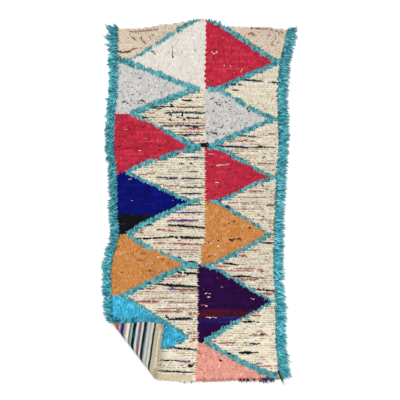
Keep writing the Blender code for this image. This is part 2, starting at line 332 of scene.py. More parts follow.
def standing(across, up):
    """How much of its height the pile keeps: less where it faces other pile, under the turned corner."""
    past = past_fold(across, up)
    mirrored = FOLD_RADIUS - (past - FOLD_RADIUS)
    shift = mirrored - past
    twin_across, twin_up = across + shift * FOLD_OUT[0], up + shift * FOLD_OUT[1]
    inside = np.minimum(
        twin_across - along(LEFT_EDGE, twin_up),
        twin_up - along(NEAR_LINE, twin_across),
    )
    return 1 - PRESSED * np.where(past > 0, 1.0, eased((inside + CORNER_MARGIN) / CORNER_MARGIN))


def wavy(across, up, size, seed=0.0):
    """Smooth noise from -1 to 1 at each point."""
    places = np.stack(np.broadcast_arrays(across / size, up / size, seed), axis=-1).reshape(-1, 3)
    values = [noise.noise(Vector(place)) for place in places]
    return np.array(values).reshape(np.shape(across))


LegLine = namedtuple("LegLine", "places middle half")


def leg_line(side, leg):
    """Height and half width of a leg of the zigzag, stepped and uneven, and level past its turns."""
    first, second = ZIGZAG[side][leg : leg + 2]
    places = np.linspace(-0.53, 0.48, 500)
    share = np.clip((places - first.across) / (second.across - first.across), 0.0, 1.0)
    seed = leg + (0.5 if side == "left" else 20.5)
    steps = abs(second.across - first.across) / STEP_LENGTH
    place = share * steps + 0.5
    step = np.floor(place) - 0.5 + eased((place % 1 - RISE_START) / RISE_SHARE) + STEP_SHIFT
    stepped = (1 - STEP_SHARE) * share + STEP_SHARE * np.clip(step / steps, 0.0, 1.0)
    early, late = BOW_NEAR_TURN * first.early, BOW_NEAR_TURN * first.late
    bow = np.interp(share, BOW_PLACES, (0.0, early, first.early, first.late, late, 0.0))
    middle = first.up + (second.up - first.up) * stepped + bow
    middle = middle + LEG_WOBBLE * np.sin(np.pi * share) * wavy(places, 0 * places, WOBBLE_WAVE, seed)
    swell = 1 + LEG_SWELL * wavy(places, 0 * places, SWELL_WAVE, seed + 50)
    half = swell * np.interp(share, (0.0, 0.5, 1.0), (first.start, first.middle, first.stop))
    for gap in BREAKS:
        if (gap.side, gap.leg) == (side, leg):
            half = np.where((places > gap.start) & (places < gap.stop), half * gap.left_over, half)
    return LegLine(places, middle, half)


LEG_LINES = {side: [leg_line(side, leg) for leg in range(LEGS)] for side in ZIGZAG}


# Yarns: the shades that a knot may take, each with how often it comes up
Shade = namedtuple("Shade", "share red green blue")
YARNS = {
    "cream": [
        Shade(25, 201, 191, 170),
        Shade(4, 193, 178, 153),
        Shade(61, 208, 200, 181),
        Shade(10, 215, 208, 191),
    ],
    "white": [Shade(60, 201, 195, 187), Shade(30, 197, 191, 183), Shade(10, 205, 199, 193)],
    "grey": [
        Shade(45, 182, 181, 178),
        Shade(30, 177, 175, 173),
        Shade(20, 187, 186, 183),
        Shade(5, 165, 162, 160),
    ],
    "red": [Shade(55, 170, 38, 58), Shade(25, 160, 33, 54), Shade(20, 180, 47, 63)],
    "navy": [Shade(60, 9, 13, 96), Shade(25, 8, 12, 80), Shade(15, 14, 18, 106)],
    "black": [Shade(70, 16, 17, 24), Shade(25, 24, 26, 34), Shade(5, 36, 32, 36)],
    "orange": [Shade(55, 186, 124, 69), Shade(25, 179, 116, 61), Shade(20, 194, 135, 82)],
    "purple": [Shade(65, 38, 9, 56), Shade(25, 32, 8, 50), Shade(10, 43, 12, 62)],
    "maroon": [Shade(45, 70, 19, 32), Shade(30, 58, 15, 40), Shade(12, 82, 26, 26), Shade(13, 46, 14, 46)],
    "indigo": [Shade(30, 28, 14, 64), Shade(45, 34, 20, 84), Shade(25, 44, 28, 98)],
    "sky_blue": [
        Shade(45, 64, 172, 208),
        Shade(30, 49, 156, 193),
        Shade(25, 90, 192, 220),
    ],
    "pink": [Shade(50, 209, 145, 129), Shade(30, 203, 136, 121), Shade(20, 215, 157, 143)],
    "teal": [
        Shade(10, 46, 114, 124),
        Shade(25, 70, 141, 143),
        Shade(34, 84, 154, 160),
        Shade(17, 90, 159, 178),
        Shade(14, 118, 180, 183),
    ],
    "shag_teal": [
        Shade(40, 70, 152, 164),
        Shade(30, 47, 128, 141),
        Shade(20, 111, 186, 194),
        Shade(10, 29, 97, 110),
    ],
    "corner_teal": [
        Shade(35, 70, 160, 174),
        Shade(25, 51, 137, 151),
        Shade(30, 82, 173, 195),
        Shade(10, 34, 105, 117),
    ],
    "plain_end": [
        Shade(60, 199, 184, 167),
        Shade(30, 194, 178, 158),
        Shade(8, 206, 194, 179),
        Shade(2, 176, 152, 134),
    ],
    # Wefts that show between the rows, darker than the cream so as to paint part of the shade between the
    # rows
    "weft": [
        Shade(30, 198, 178, 152),
        Shade(35, 164, 140, 122),
        Shade(25, 124, 102, 94),
        Shade(10, 64, 54, 56),
    ],
    "near_plain": [Shade(60, 208, 196, 168), Shade(40, 200, 186, 158)],
    "rag_maroon": [Shade(60, 88, 24, 44), Shade(40, 60, 18, 32)],
    "rim_white": [Shade(60, 222, 214, 200), Shade(40, 206, 196, 178)],
    "rim_pink": [Shade(60, 224, 190, 184), Shade(40, 212, 150, 150)],
    "shag_dark": [Shade(60, 30, 100, 112), Shade(40, 48, 124, 134)],
    "ecru": [Shade(60, 216, 200, 176), Shade(40, 204, 186, 158)],
    "rag_black": [Shade(80, 22, 20, 24), Shade(20, 44, 42, 54)],
    "rag_navy": [Shade(50, 34, 40, 82), Shade(30, 24, 40, 60), Shade(20, 60, 66, 90)],
    "rag_brown": [Shade(50, 160, 108, 98), Shade(30, 128, 76, 70), Shade(20, 186, 142, 128)],
    "rag_red": [Shade(50, 172, 76, 78), Shade(30, 150, 50, 60), Shade(20, 192, 112, 108)],
    "rag_violet": [Shade(50, 78, 48, 130), Shade(25, 140, 60, 120), Shade(25, 40, 34, 110)],
    "rag_pale": [Shade(50, 202, 176, 168), Shade(30, 186, 158, 152), Shade(20, 214, 188, 176)],
    "yarn_end": [Shade(60, 46, 38, 32), Shade(40, 66, 56, 48)],
    "tick": [
        Shade(40, 40, 30, 42),
        Shade(30, 96, 66, 112),
        Shade(10, 190, 180, 172),
        Shade(20, 100, 36, 58),
    ],
    "fleck_white": [Shade(50, 224, 206, 198), Shade(50, 218, 172, 170)],
    "fleck_dark": [Shade(60, 46, 38, 42), Shade(30, 86, 70, 66), Shade(10, 120, 80, 76)],
    "fleck_rose": [Shade(60, 206, 120, 120), Shade(40, 180, 80, 100)],
    "end_white": [Shade(60, 226, 218, 206), Shade(20, 196, 184, 168), Shade(20, 90, 80, 74)],
}


PATCH_BLUR = 0.24
SHADE_SPREAD = 0.04


def drawn(yarn, count, rng, patches=None):
    """A shade of a yarn for each of count knots. Patches, from 0 to 1, make neighbours alike."""
    shades = YARNS[yarn]
    bounds = np.cumsum([shade.share for shade in shades]) / sum(shade.share for shade in shades)
    place = rng.random(count)
    if patches is not None:
        place = np.clip(patches + PATCH_BLUR * (place - 0.5), 0.0, 0.999)
    colours = np.array([linear(shade.red, shade.green, shade.blue) for shade in shades])
    colours = colours[np.minimum(np.searchsorted(bounds, place), len(shades) - 1)]
    return np.clip(colours * (1 + SHADE_SPREAD * rng.standard_normal((count, 1))), 0.0, 1.0)


# Rags between two rows of knots: height of the middle, both ends, how far the rag falls, thickness and
# yarn
RAG_LINES = table("RagLine", "up:mm start:mm stop:mm fall:mm thick:mm yarn", [
    (835, -340, -205, -8, 3, "rag_brown"),
    (731, -398, -378, 6, 6, "rag_maroon"),
    (732, -370, -336, -7, 6, "rag_maroon"),
    (746, -333, -306, -5, 4, "rag_brown"),
    (460, -232, -206, 0, 6, "rag_black"),
    (452, -210, -188, 0, 7, "rag_maroon"),
    (433, -168, -140, 0, 6, "rag_black"),
    (434, -68, -54, 0, 6, "rag_black"),
    (431, -18, 22, 0, 6, "rag_navy"),
    (411, -112, -88, 0, 6, "rag_black"),
    (382, -208, 20, 0, 4, "rag_brown"),
    (362, -34, -8, 0, 10, "rag_black"),
    (338, -120, 18, 0, 4, "rag_brown"),
    (494, -80, -35, 0, 6, "rag_black"),
    (462, -210, -120, 0, 6, "rag_black"),
    (461, -105, 22, 0, 4, "rag_black"),
    (434, -245, -215, 0, 4, "rag_brown"),
    (434, -165, 22, 0, 5, "rag_navy"),
    (411, -282, -252, 0, 5, "rag_black"),
    (408, -56, -8, 0, 6, "rag_black"),
    (382, -190, 22, 0, 3, "rag_pale"),
    (369, -190, 22, 0, 6, "rag_navy"),
    (354, -76, 22, 0, 4, "rag_red"),
    (325, -110, 22, 0, 6, "rag_navy"),
    (295, -46, 15, 0, 4, "rag_red"),
    (281, 8, 44, 0, 8, "rag_black"),
    (274, 2, 46, 0, 9, "rag_black"),
    (267, 10, 40, 0, 7, "rag_black"),
    (213, -105, 22, 0, 5, "rag_navy"),
    (184, -96, -78, 0, 6, "rag_navy"),
    (184, -44, -36, 0, 7, "rag_black"),
    (144, -60, -8, 0, 4, "rag_navy"),
    (134, -298, -220, -4, 4, "rag_brown"),
    (113, -205, 22, 6, 6, "rag_navy"),
    (75, -172, -88, 0, 4, "rag_brown"),
    (68, -90, 22, 0, 4, "rag_black"),
    (37, -90, 12, 0, 5, "rag_navy"),
    (-17, -58, 15, 0, 4, "rag_navy"),
    (-56, -125, 22, 0, 6, "rag_violet"),
    (-95, -150, -9, 0, 7, "rag_violet"),
    (-123, -150, 22, 12, 9, "rag_black"),
    (-117, -257, -230, 0, 7, "rag_black"),
    (-140, -205, -168, 0, 8, "rag_red"),
    (-145, -165, -115, 4, 6, "rag_red"),
    (-153, -306, -274, 0, 5, "rag_red"),
    (-181, -308, -154, -9, 8, "rag_black"),
    (-178, -150, 22, 6, 10, "rag_black"),
    (-206, -222, -170, 0, 5, "rag_brown"),
    (-209, -146, 5, 6, 5, "rag_red"),
    (-238, -188, 0, 0, 3, "rag_brown"),
    (-252, -165, 0, 0, 3, "rag_pale"),
    (-296, -54, -20, 0, 8, "rag_black"),
    (-352, -105, -7, 10, 10, "rag_black"),
    (-368, -145, -60, 0, 7, "rag_brown"),
    (-413, -215, -9, 14, 11, "rag_black"),
    (-427, -257, -220, 0, 5, "rag_red"),
    (-431, -148, -118, 0, 7, "rag_violet"),
    (-435, -118, -9, 4, 5, "rag_red"),
    (-445, -275, -9, 0, 4, "rag_pale"),
    (-474, -222, -120, 0, 3, "rag_brown"),
    (-491, -305, -200, 0, 9, "rag_red"),
    (-494, -166, -15, 4, 4, "rag_brown"),
    (-526, -200, -15, 0, 3, "rag_brown"),
    (-541, -205, -128, 0, 5, "rag_red"),
    (-541, -118, -90, 0, 8, "rag_red"),
    (-548, -50, -15, 0, 6, "rag_red"),
    (-577, -152, -15, 0, 11, "rag_black"),
    (-645, -60, -15, 0, 4, "rag_brown"),
    (-682, -48, -15, -14, 5, "rag_red"),
    (-722, -150, -18, 12, 8, "rag_black"),
    (-779, -190, -114, 0, 6, "rag_black"),
    (-784, -112, -44, 4, 5, "rag_violet"),
    (-808, -52, -36, 0, 12, "rag_black"),
    (-835, -200, -20, 8, 6, "rag_black"),
    (760, 253, 275, 0, 6, "rag_red"),
    (590, 218, 309, 7, 8, "rag_navy"),
    (581, 340, 385, 2, 5, "rag_black"),
    (571, 154, 206, 0, 7, "rag_navy"),
    (544, 165, 188, 0, 6, "rag_black"),
    (318, 192, 278, 7, 5, "rag_black"),
    (329, 342, 366, 0, 5, "rag_brown"),
    (295, 147, 272, 0, 4, "rag_red"),
    (267, 89, 238, 8, 9, "rag_navy"),
    (264, 250, 372, 0, 4, "rag_black"),
    (250, 136, 234, 0, 3, "rag_pale"),
    (184, 292, 371, 0, 4, "rag_brown"),
    (48, 246, 312, 0, 5, "rag_red"),
    (20, 186, 372, 0, 3, "rag_brown"),
    (-9, 126, 280, 0, 3, "rag_brown"),
    (-20, 330, 361, 0, 5, "rag_black"),
    (-38, 150, 262, 0, 3, "rag_brown"),
    (-91, 245, 370, 0, 3, "rag_brown"),
    (-205, 309, 361, 0, 7, "rag_black"),
    (-240, 238, 297, 0, 4, "rag_brown"),
    (-267, 192, 228, 0, 8, "rag_red"),
    (-291, 322, 343, 0, 4, "rag_brown"),
    (-308, 116, 189, 7, 8, "rag_black"),
    (-319, 79, 140, 7, 7, "rag_red"),
    (-329, 170, 270, 0, 5, "rag_brown"),
    (-340, 120, 260, 0, 3, "rag_red"),
    (-368, 160, 248, 0, 9, "rag_black"),
    (-375, 250, 320, 0, 4, "rag_black"),
    (-384, 185, 290, 0, 4, "rag_red"),
    (-435, 270, 364, 10, 9, "rag_black"),
    (-453, 307, 366, 0, 4, "rag_red"),
    (-534, 285, 312, 0, 4, "rag_pale"),
    (-560, 253, 295, 0, 6, "rag_red"),
    (-590, 212, 271, 0, 8, "rag_black"),
    (-593, 281, 309, 0, 5, "rag_black"),
    (-656, 260, 333, 0, 5, "rag_brown"),
    (-686, 50, 79, 0, 7, "rag_red"),
    (-694, 96, 171, 0, 5, "rag_red"),
    (-698, 250, 292, 0, 6, "rag_navy"),
    (-742, 199, 257, 0, 13, "rag_black"),
    (-742, 258, 292, 0, 4, "rag_black"),
    (-745, 137, 157, 0, 6, "rag_black"),
    (-794, 281, 309, 0, 5, "rag_brown"),
    (-806, 265, 382, 0, 3, "rag_brown"),
])

# Single strands of another colour that catch the eye: middle, length, thickness, slant in degrees and yarn
FLECKS = table("Fleck", "across:mm up:mm long:mm thick:mm slant:degrees yarn", [
    (-327, 800, 14, 4, 20, "fleck_dark"),
    (-318, 794, 12, 4, -60, "fleck_dark"),
    (-285, 797, 18, 4, -80, "fleck_dark"),
    (-276, 784, 16, 4, -50, "fleck_dark"),
    (-243, 802, 12, 4, -40, "fleck_dark"),
    (-267, 777, 16, 5, -50, "rag_black"),
    (-230, 812, 10, 4, 10, "fleck_dark"),
    (-394, 705, 12, 5, 20, "rag_black"),
    (-230, 734, 16, 6, 10, "rag_black"),
    (-222, 724, 16, 5, -70, "rag_black"),
    (-133, 752, 16, 3, -88, "rag_brown"),
    (-132, 724, 30, 4, -88, "fleck_dark"),
    (-130, 706, 12, 5, -85, "rag_black"),
    (-20, 740, 9, 4, 0, "fleck_dark"),
    (-370, 486, 20, 6, 10, "rag_black"),
    (-352, 480, 14, 5, -30, "rag_black"),
    (-326, 522, 12, 4, 30, "fleck_dark"),
    (-282, 493, 16, 6, 0, "rag_black"),
    (-272, 489, 12, 5, -40, "rag_black"),
    (-145, 425, 10, 4, 0, "rag_black"),
    (-72, 493, 24, 7, -25, "rag_black"),
    (-46, 494, 16, 6, 80, "rag_black"),
    (-9, 508, 14, 5, 30, "fleck_dark"),
    (-87, 475, 14, 5, -10, "rag_brown"),
    (-135, 470, 22, 8, -40, "rag_black"),
    (-140, 424, 20, 7, -75, "rag_black"),
    (-83, 424, 22, 8, 80, "rag_black"),
    (-142, 398, 16, 8, -50, "rag_black"),
    (-73, 398, 12, 9, 0, "rag_black"),
    (-57, 406, 18, 7, -45, "rag_black"),
    (-10, 408, 16, 8, 20, "rag_black"),
    (-104, 459, 8, 5, 0, "rag_black"),
    (-78, 460, 8, 5, 0, "rag_black"),
    (-36, 459, 20, 6, -20, "rag_black"),
    (-272, 411, 20, 5, 0, "rag_black"),
    (-256, 404, 14, 6, -50, "rag_brown"),
    (258, 846, 9, 5, 30, "fleck_dark"),
    (279, 845, 10, 5, 0, "fleck_dark"),
    (292, 844, 18, 5, 0, "fleck_dark"),
    (312, 842, 14, 5, 0, "rag_brown"),
    (330, 843, 16, 4, 10, "rag_brown"),
    (352, 838, 14, 4, -20, "fleck_dark"),
    (377, 834, 12, 6, 0, "rag_black"),
    (388, 822, 16, 4, -60, "rag_brown"),
    (404, 826, 12, 5, -40, "fleck_dark"),
    (250, 822, 26, 6, 20, "rag_red"),
    (264, 816, 14, 5, 0, "rag_black"),
    (340, 812, 22, 3, 60, "rag_brown"),
    (372, 800, 22, 3, 70, "rag_brown"),
    (356, 774, 26, 3, 70, "rag_brown"),
    (62, 730, 12, 5, 40, "fleck_white"),
    (72, 722, 16, 6, 10, "fleck_white"),
    (84, 730, 12, 5, -60, "fleck_white"),
    (122, 664, 10, 4, 20, "fleck_white"),
    (152, 662, 12, 4, -60, "fleck_white"),
    (206, 640, 26, 3, 60, "fleck_white"),
    (64, 502, 14, 5, 30, "rag_black"),
    (84, 483, 12, 5, 0, "rag_black"),
    (88, 474, 10, 5, -40, "rag_black"),
    (100, 470, 12, 5, -60, "rag_black"),
    (133, 484, 9, 4, 0, "rag_black"),
    (150, 494, 9, 4, 30, "rag_black"),
    (236, 451, 16, 6, -60, "rag_black"),
    (244, 440, 12, 6, 20, "rag_black"),
    (112, 366, 22, 4, 60, "rag_black"),
    (78, 332, 18, 6, 0, "rag_black"),
    (86, 326, 14, 5, -70, "rag_black"),
    (40, 330, 16, 5, -50, "rag_black"),
    (64, 336, 14, 5, -40, "rag_black"),
    (120, 330, 14, 4, 30, "fleck_dark"),
    (298, 268, 20, 8, 0, "rag_black"),
    (316, 216, 14, 4, 60, "rag_navy"),
    (322, 214, 12, 4, -70, "rag_navy"),
    (206, 208, 14, 6, -30, "rag_black"),
    (110, 178, 60, 3, 1, "fleck_white"),
    (90, 172, 20, 4, 0, "fleck_white"),
    (60, 232, 40, 3, 0, "fleck_white"),
    (140, 182, 20, 4, 0, "fleck_white"),
    (86, 92, 20, 4, 0, "fleck_white"),
    (-395, 214, 10, 4, 10, "fleck_rose"),
    (-291, 248, 15, 5, 8, "fleck_white"),
    (-262, 306, 34, 3, 8, "fleck_rose"),
    (-360, 351, 16, 4, 5, "fleck_rose"),
    (-193, 273, 26, 4, -10, "maroon"),
    (-108, 232, 22, 6, 0, "fleck_dark"),
    (-300, 128, 24, 3, 8, "fleck_white"),
    (-340, 108, 18, 3, 14, "fleck_white"),
    (310, 76, 16, 6, -50, "fleck_dark"),
    (330, 58, 14, 7, -20, "fleck_dark"),
    (102, 6, 26, 5, 40, "rag_navy"),
    (138, -26, 18, 14, 0, "rag_navy"),
    (148, -32, 16, 8, -20, "rag_navy"),
    (290, -66, 14, 4, -30, "fleck_dark"),
    (312, -77, 12, 6, -20, "rag_black"),
    (346, -124, 12, 6, 10, "rag_red"),
    (170, -98, 14, 5, 20, "fleck_dark"),
    (246, -130, 12, 8, 0, "rag_black"),
    (156, -190, 20, 9, -20, "rag_black"),
    (170, -186, 20, 6, 20, "rag_black"),
    (192, -184, 18, 7, 10, "rag_black"),
    (202, -190, 10, 5, -60, "rag_black"),
    (94, -193, 8, 7, 0, "rag_black"),
    (46, -200, 8, 5, 0, "rag_black"),
    (92, -220, 10, 10, 0, "fleck_white"),
    (58, -206, 8, 6, 0, "fleck_white"),
    (208, -216, 8, 6, 0, "fleck_white"),
    (78, -262, 16, 8, 0, "fleck_white"),
    (52, -258, 10, 4, 0, "fleck_white"),
    (50, -268, 20, 4, 10, "fleck_dark"),
    (-180, -285, 9, 5, 0, "rag_black"),
    (-202, -274, 12, 8, 0, "fleck_white"),
    (-250, -308, 30, 3, 0, "fleck_white"),
    (-288, -286, 18, 5, 0, "rag_brown"),
    (-243, -340, 10, 7, 0, "rag_black"),
    (-72, -338, 9, 6, 0, "rag_black"),
    (-288, -430, 22, 5, 0, "fleck_dark"),
    (-98, -276, 14, 9, -20, "rag_black"),
    (-244, -402, 16, 10, 0, "rag_black"),
    (-188, -392, 30, 3, 10, "fleck_dark"),
    (296, -336, 18, 12, 0, "rag_red"),
    (306, -342, 16, 8, 60, "rag_red"),
    (33, -452, 14, 5, 10, "fleck_white"),
    (52, -452, 10, 4, 0, "fleck_white"),
    (46, -470, 16, 7, 0, "fleck_white"),
    (110, -420, 14, 3, 0, "fleck_rose"),
    (18, -508, 26, 4, 0, "fleck_rose"),
    (34, -513, 12, 7, -10, "fleck_white"),
    (256, -477, 9, 6, -30, "fleck_rose"),
    (266, -480, 9, 4, 40, "fleck_white"),
    (38, -568, 14, 4, 5, "fleck_white"),
    (52, -570, 14, 7, -5, "fleck_white"),
    (68, -567, 8, 4, 40, "fleck_white"),
    (80, -571, 14, 4, 0, "fleck_white"),
    (-160, -562, 16, 6, 60, "rag_black"),
    (-156, -570, 18, 7, -20, "rag_black"),
    (-98, -664, 18, 5, 30, "rag_navy"),
    (-80, -672, 16, 4, 60, "rag_navy"),
    (162, -601, 10, 5, 0, "rag_black"),
    (309, -652, 26, 7, 0, "rag_black"),
    (304, -640, 22, 4, -70, "rag_brown"),
    (100, -770, 40, 4, -40, "rag_brown"),
    (104, -780, 16, 9, -20, "maroon"),
    (180, -760, 12, 5, 20, "rag_brown"),
    (-50, -800, 12, 7, 30, "rag_black"),
    (-38, -804, 22, 5, 75, "rag_black"),
    (-28, -798, 18, 5, 50, "rag_black"),
])

# Loose strands scattered at random: in which pile, to what share of its knots, length, thickness and yarn
STRAYS = table("Stray", "pile share long:mm thick:mm yarn", [
    ("grey", 0.13, 7, 2.9, "fleck_dark"),
    ("white", 0.012, 8, 2.4, "rag_pale"),
    ("red", 0.03, 13, 2.8, "fleck_rose"),
    ("red", 0.02, 16, 2.6, "maroon"),
    ("orange", 0.012, 9, 3.2, "fleck_white"),
    ("orange", 0.022, 9, 3.2, "fleck_dark"),
    ("purple", 0.003, 8, 2.2, "fleck_rose"),
    ("cream", 0.045, 10, 2.6, "fleck_dark"),
    ("cream", 0.035, 16, 2.2, "rag_brown"),
    ("plain_end", 0.012, 8, 2.6, "fleck_dark"),
    ("plain_end", 0.015, 12, 2.2, "rag_pale"),
    ("pink", 0.07, 8, 3.2, "rag_red"),
    ("navy", 0.006, 9, 2.6, "rag_pale"),
])

# Stripes of the back, by how far their upper side lies from the near end
BACK_STRIPES = table("BackStripe", "reach:mm red green blue", [
    (3, 184, 168, 142),
    (12, 172, 152, 124),
    (22, 193, 181, 152),
    (36, 187, 179, 157),
    (45, 26, 18, 14),
    (57, 200, 204, 194),
    (66, 158, 168, 152),
    (75, 200, 204, 196),
    (81, 136, 134, 148),
    (87, 30, 34, 44),
    (95, 24, 32, 38),
    (103, 220, 220, 214),
    (118, 134, 98, 104),
    (130, 202, 214, 204),
    (146, 12, 30, 42),
    (154, 168, 176, 172),
    (163, 108, 110, 98),
    (174, 232, 228, 216),
    (182, 204, 176, 150),
    (190, 132, 130, 142),
    (197, 16, 22, 108),
    (204, 34, 30, 110),
    (212, 150, 128, 160),
    (217, 196, 168, 188),
    (230, 172, 70, 54),
    (242, 216, 134, 78),
])


class RugSizes(bpy.types.PropertyGroup):
    row_pitch: FloatProperty(
        name="Row pitch", description="Distance between rows of knots", default=11.5 * MM, unit="LENGTH"
    )
    knot_pitch: FloatProperty(
        name="Knot pitch", description="Distance between knots in a row", default=8.8 * MM, unit="LENGTH"
    )
    pile_length: FloatProperty(
        name="Pile length", description="Length of a coloured field's tufts",
        default=19 * MM, unit="LENGTH",
    )
    pile_height: FloatProperty(
        name="Pile height", description="Height of the pile above the ground",
        default=9.5 * MM, unit="LENGTH",
    )
    shag_length: FloatProperty(
        name="Shag length", description="Length of the edges' longest locks",
        default=42 * MM, unit="LENGTH",
    )
    shag_pitch: FloatProperty(
        name="Shag pitch", description="Distance between locks along an edge",
        default=5.2 * MM, unit="LENGTH",
    )


class RugColours(bpy.types.PropertyGroup):
    floor: FloatVectorProperty(
        name="Floor", description="Colour of the floor", subtype="COLOR", default=(0.97, 0.97, 0.97)
    )
    ground: FloatVectorProperty(
        name="Ground", description="Colour of the woven ground", subtype="COLOR",
        default=linear(206, 192, 166),
    )


# Shader arithmetic


class Value:
    """A shader socket that takes part in Python expressions."""

    def __init__(self, material, socket):
        self.material, self.socket = material, socket

    def math(self, operation, *others):
        return self.material.node("ShaderNodeMath", {"operation": operation}, [self, *others])

    def __add__(self, other):
        return self.math("ADD", other)

    def __sub__(self, other):
        return self.math("SUBTRACT", other)

    def __mul__(self, other):
        return self.math("MULTIPLY", other)


class Finish:
    """A node material with one Principled shader."""

    def __init__(self, name):
        self.material = bpy.data.materials.new(name)
        self.material.use_nodes = True
        self.tree = self.material.node_tree
        self.shader = self.tree.nodes["Principled BSDF"]

    def node(self, kind, settings=None, inputs=(), output=0):
        """Adds a node: its settings, then its sockets by place or name. Returns one of its outputs."""
        node = self.tree.nodes.new(kind)
        for key, value in (settings or {}).items():
            setattr(node, key, value)
        pairs = inputs.items() if isinstance(inputs, dict) else enumerate(inputs)
        for key, value in pairs:
            self.put(node.inputs[key], value)
        return Value(self, node.outputs[output])

    def put(self, socket, value):
        if isinstance(value, Value):
            self.tree.links.new(value.socket, socket)
        else:
            socket.default_value = value

    def set(self, values):
        for key, value in values.items():
            self.put(self.shader.inputs[key], value)
        return self.material

    def split(self, vector):
        """The first two parts of a vector."""
        parts = self.node("ShaderNodeSeparateXYZ", inputs=[vector]).socket.node
        return Value(self, parts.outputs[0]), Value(self, parts.outputs[1])

    def noise(self, vector, scale, detail, dimensions="3D"):
        settings = {"noise_dimensions": dimensions}
        inputs = {"Vector": vector, "Scale": scale, "Detail": detail}
        return self.node("ShaderNodeTexNoise", settings, inputs)

    def shaded(self, colour, light):
        """A colour with the same light on its red, green and blue."""
        grey = self.node("ShaderNodeCombineXYZ", inputs=[light, light, light])
        settings = {"data_type": "RGBA", "blend_type": "MULTIPLY"}
        return self.node("ShaderNodeMix", settings, {0: 1.0, 6: colour, 7: grey}, output=2)

    def bump(self, height, strength, distance):
        inputs = {"Strength": strength, "Distance": distance, "Height": height}
        return self.node("ShaderNodeBump", inputs=inputs)

    def stripes(self, value, stops):
        """The colour of the last stop that the value has passed."""
        node = self.tree.nodes.new("ShaderNodeValToRGB")
        node.color_ramp.interpolation = "CONSTANT"
        elements = node.color_ramp.elements
        while len(elements) < len(stops):
            elements.new(1.0)
        for element, (place, colour) in zip(elements, stops):
            element.position = place
            element.color = (*colour, 1.0)
        self.put(node.inputs[0], value)
        return Value(self, node.outputs[0])


MATTE = {"Specular IOR Level": 0.04}
FIBRES = (9.0, 1.6, 1.0)


def wool(name, root_shade, grain=1.0):
    """Wool yarn: each tuft's own colour, with painted shade darkening it towards its root, and fine fibres
    along it.
    """
    finish = Finish(name)
    strand = finish.node("ShaderNodeUVMap", {"uv_map": "strand"})
    _, length = finish.split(strand)
    stretched = finish.node("ShaderNodeVectorMath", {"operation": "MULTIPLY"}, [strand, FIBRES])
    streaks = finish.noise(stretched, 1.0, 2.0, "2D")
    # Painted shade: each tuft is darker towards its root, deep in the pile
    shade = finish.node(
        "ShaderNodeMapRange",
        {"interpolation_type": "SMOOTHSTEP"},
        {"Value": length, "From Min": 0.0, "From Max": 0.55, "To Min": root_shade, "To Max": 1.0},
    )
    light = shade * (streaks * (0.5 * grain) + (1 - 0.25 * grain))
    own = finish.node("ShaderNodeAttribute", {"attribute_name": "tuft_colour"})
    return finish.set(
        {
            "Base Color": finish.shaded(own, light),
            "Roughness": streaks * 0.15 + 0.85,
            "Normal": finish.bump(streaks, 0.3 * grain, 0.3 * MM),
            **MATTE,
        }
    )


def woven_ground(colours):
    """Weft-faced ground: wefts over and under the warps, striped by the distance from the near end."""
    finish = Finish("woven_ground")
    flat = finish.node("ShaderNodeUVMap", {"uv_map": "flat"})
    across, reach = finish.split(flat)
    wobble = finish.noise(flat, 30.0, 3.0)
    row = (reach * (1 / WEFT_PITCH)).math("FLOOR")
    over = ((across * (1 / WARP_PITCH) + row * 0.5) * (2 * math.pi)).math("SINE")
    ribs = (reach * (2 * math.pi / WEFT_PITCH) - math.pi / 2).math("SINE")
    waved = (reach + wobble * (5 * MM) - 2.5 * MM + over * (1.5 * MM)) * (1 / STRIPED)
    stops, start = [], 0.0
    for stripe in BACK_STRIPES:
        stops.append((min(start / STRIPED, 1.0), linear(stripe.red, stripe.green, stripe.blue)))
        start = stripe.reach
    stops.append((start / STRIPED, tuple(colours.ground)))
    fibre = finish.noise(flat, 700.0, 3.0)
    knots = finish.noise(flat, 130.0, 2.0)
    # Painted shade: the ground is darker in the hollows of its weave, from the same relief that bumps it;
    # the knots add random tone
    relief = over * 0.3 + ribs * 0.3 + fibre * 0.4 + 0.4
    light = relief * 0.45 + over * 0.1 + knots * 0.4 + 0.36
    return finish.set(
        {
            "Base Color": finish.shaded(finish.stripes(waved, stops), light),
            "Roughness": fibre * 0.1 + 0.85,
            "Normal": finish.bump(relief, 0.8, 1.4 * MM),
            **MATTE,
        }
    )


# Shapes that are repeated


# Locks and tufts of unit length and width, by how wide they are at places between root and tip
Section = namedtuple("Section", "place width")
PILE_LOCK = (Section(0.3, 1.0), Section(0.68, 0.9), Section(1.0, 0.25))
SHORT_LOCK = (Section(0.45, 1.0), Section(1.0, 0.4))
SHAG_LOCK = (
    Section(0.16, 0.9),
    Section(0.36, 1.0),
    Section(0.58, 0.86),
    Section(0.8, 0.58),
    Section(1.0, 0.08),
)
BEAD = (Section(0.5, 1.15), Section(1.0, 0.6))
ROOT_WIDTH = 0.6

Shape = namedtuple("Shape", "across along deep faces")


def lock_shape(sections, sides, lobes=0.18):
    """A closed lock that stands on its root. Its lobes draw every second edge in."""
    bm = bmesh.new()
    bmesh.ops.create_circle(bm, cap_ends=True, segments=sides, radius=0.5)
    for n, vert in enumerate(bm.verts):
        vert.co *= ROOT_WIDTH * (1 - lobes * (n % 2))
    bm.faces.ensure_lookup_table()
    face = bm.faces[0]
    before = Section(0.0, ROOT_WIDTH)
    for section in sections:
        grown = bmesh.ops.extrude_face_region(bm, geom=[face, *face.edges])
        face = next(part for part in grown["geom"] if isinstance(part, bmesh.types.BMFace))
        for vert in face.verts:
            vert.co.x *= section.width / before.width
            vert.co.y *= section.width / before.width
            vert.co.z = section.place
        before = section
    bmesh.ops.triangulate(bm, faces=bm.faces[:])
    bmesh.ops.recalc_face_normals(bm, faces=bm.faces[:])
    bm.verts.index_update()
    points = np.array([vert.co[:] for vert in bm.verts])
    faces = np.array([[vert.index for vert in face.verts] for face in bm.faces])
    bm.free()
    return Shape(points[:, 0], points[:, 2], points[:, 1], faces)


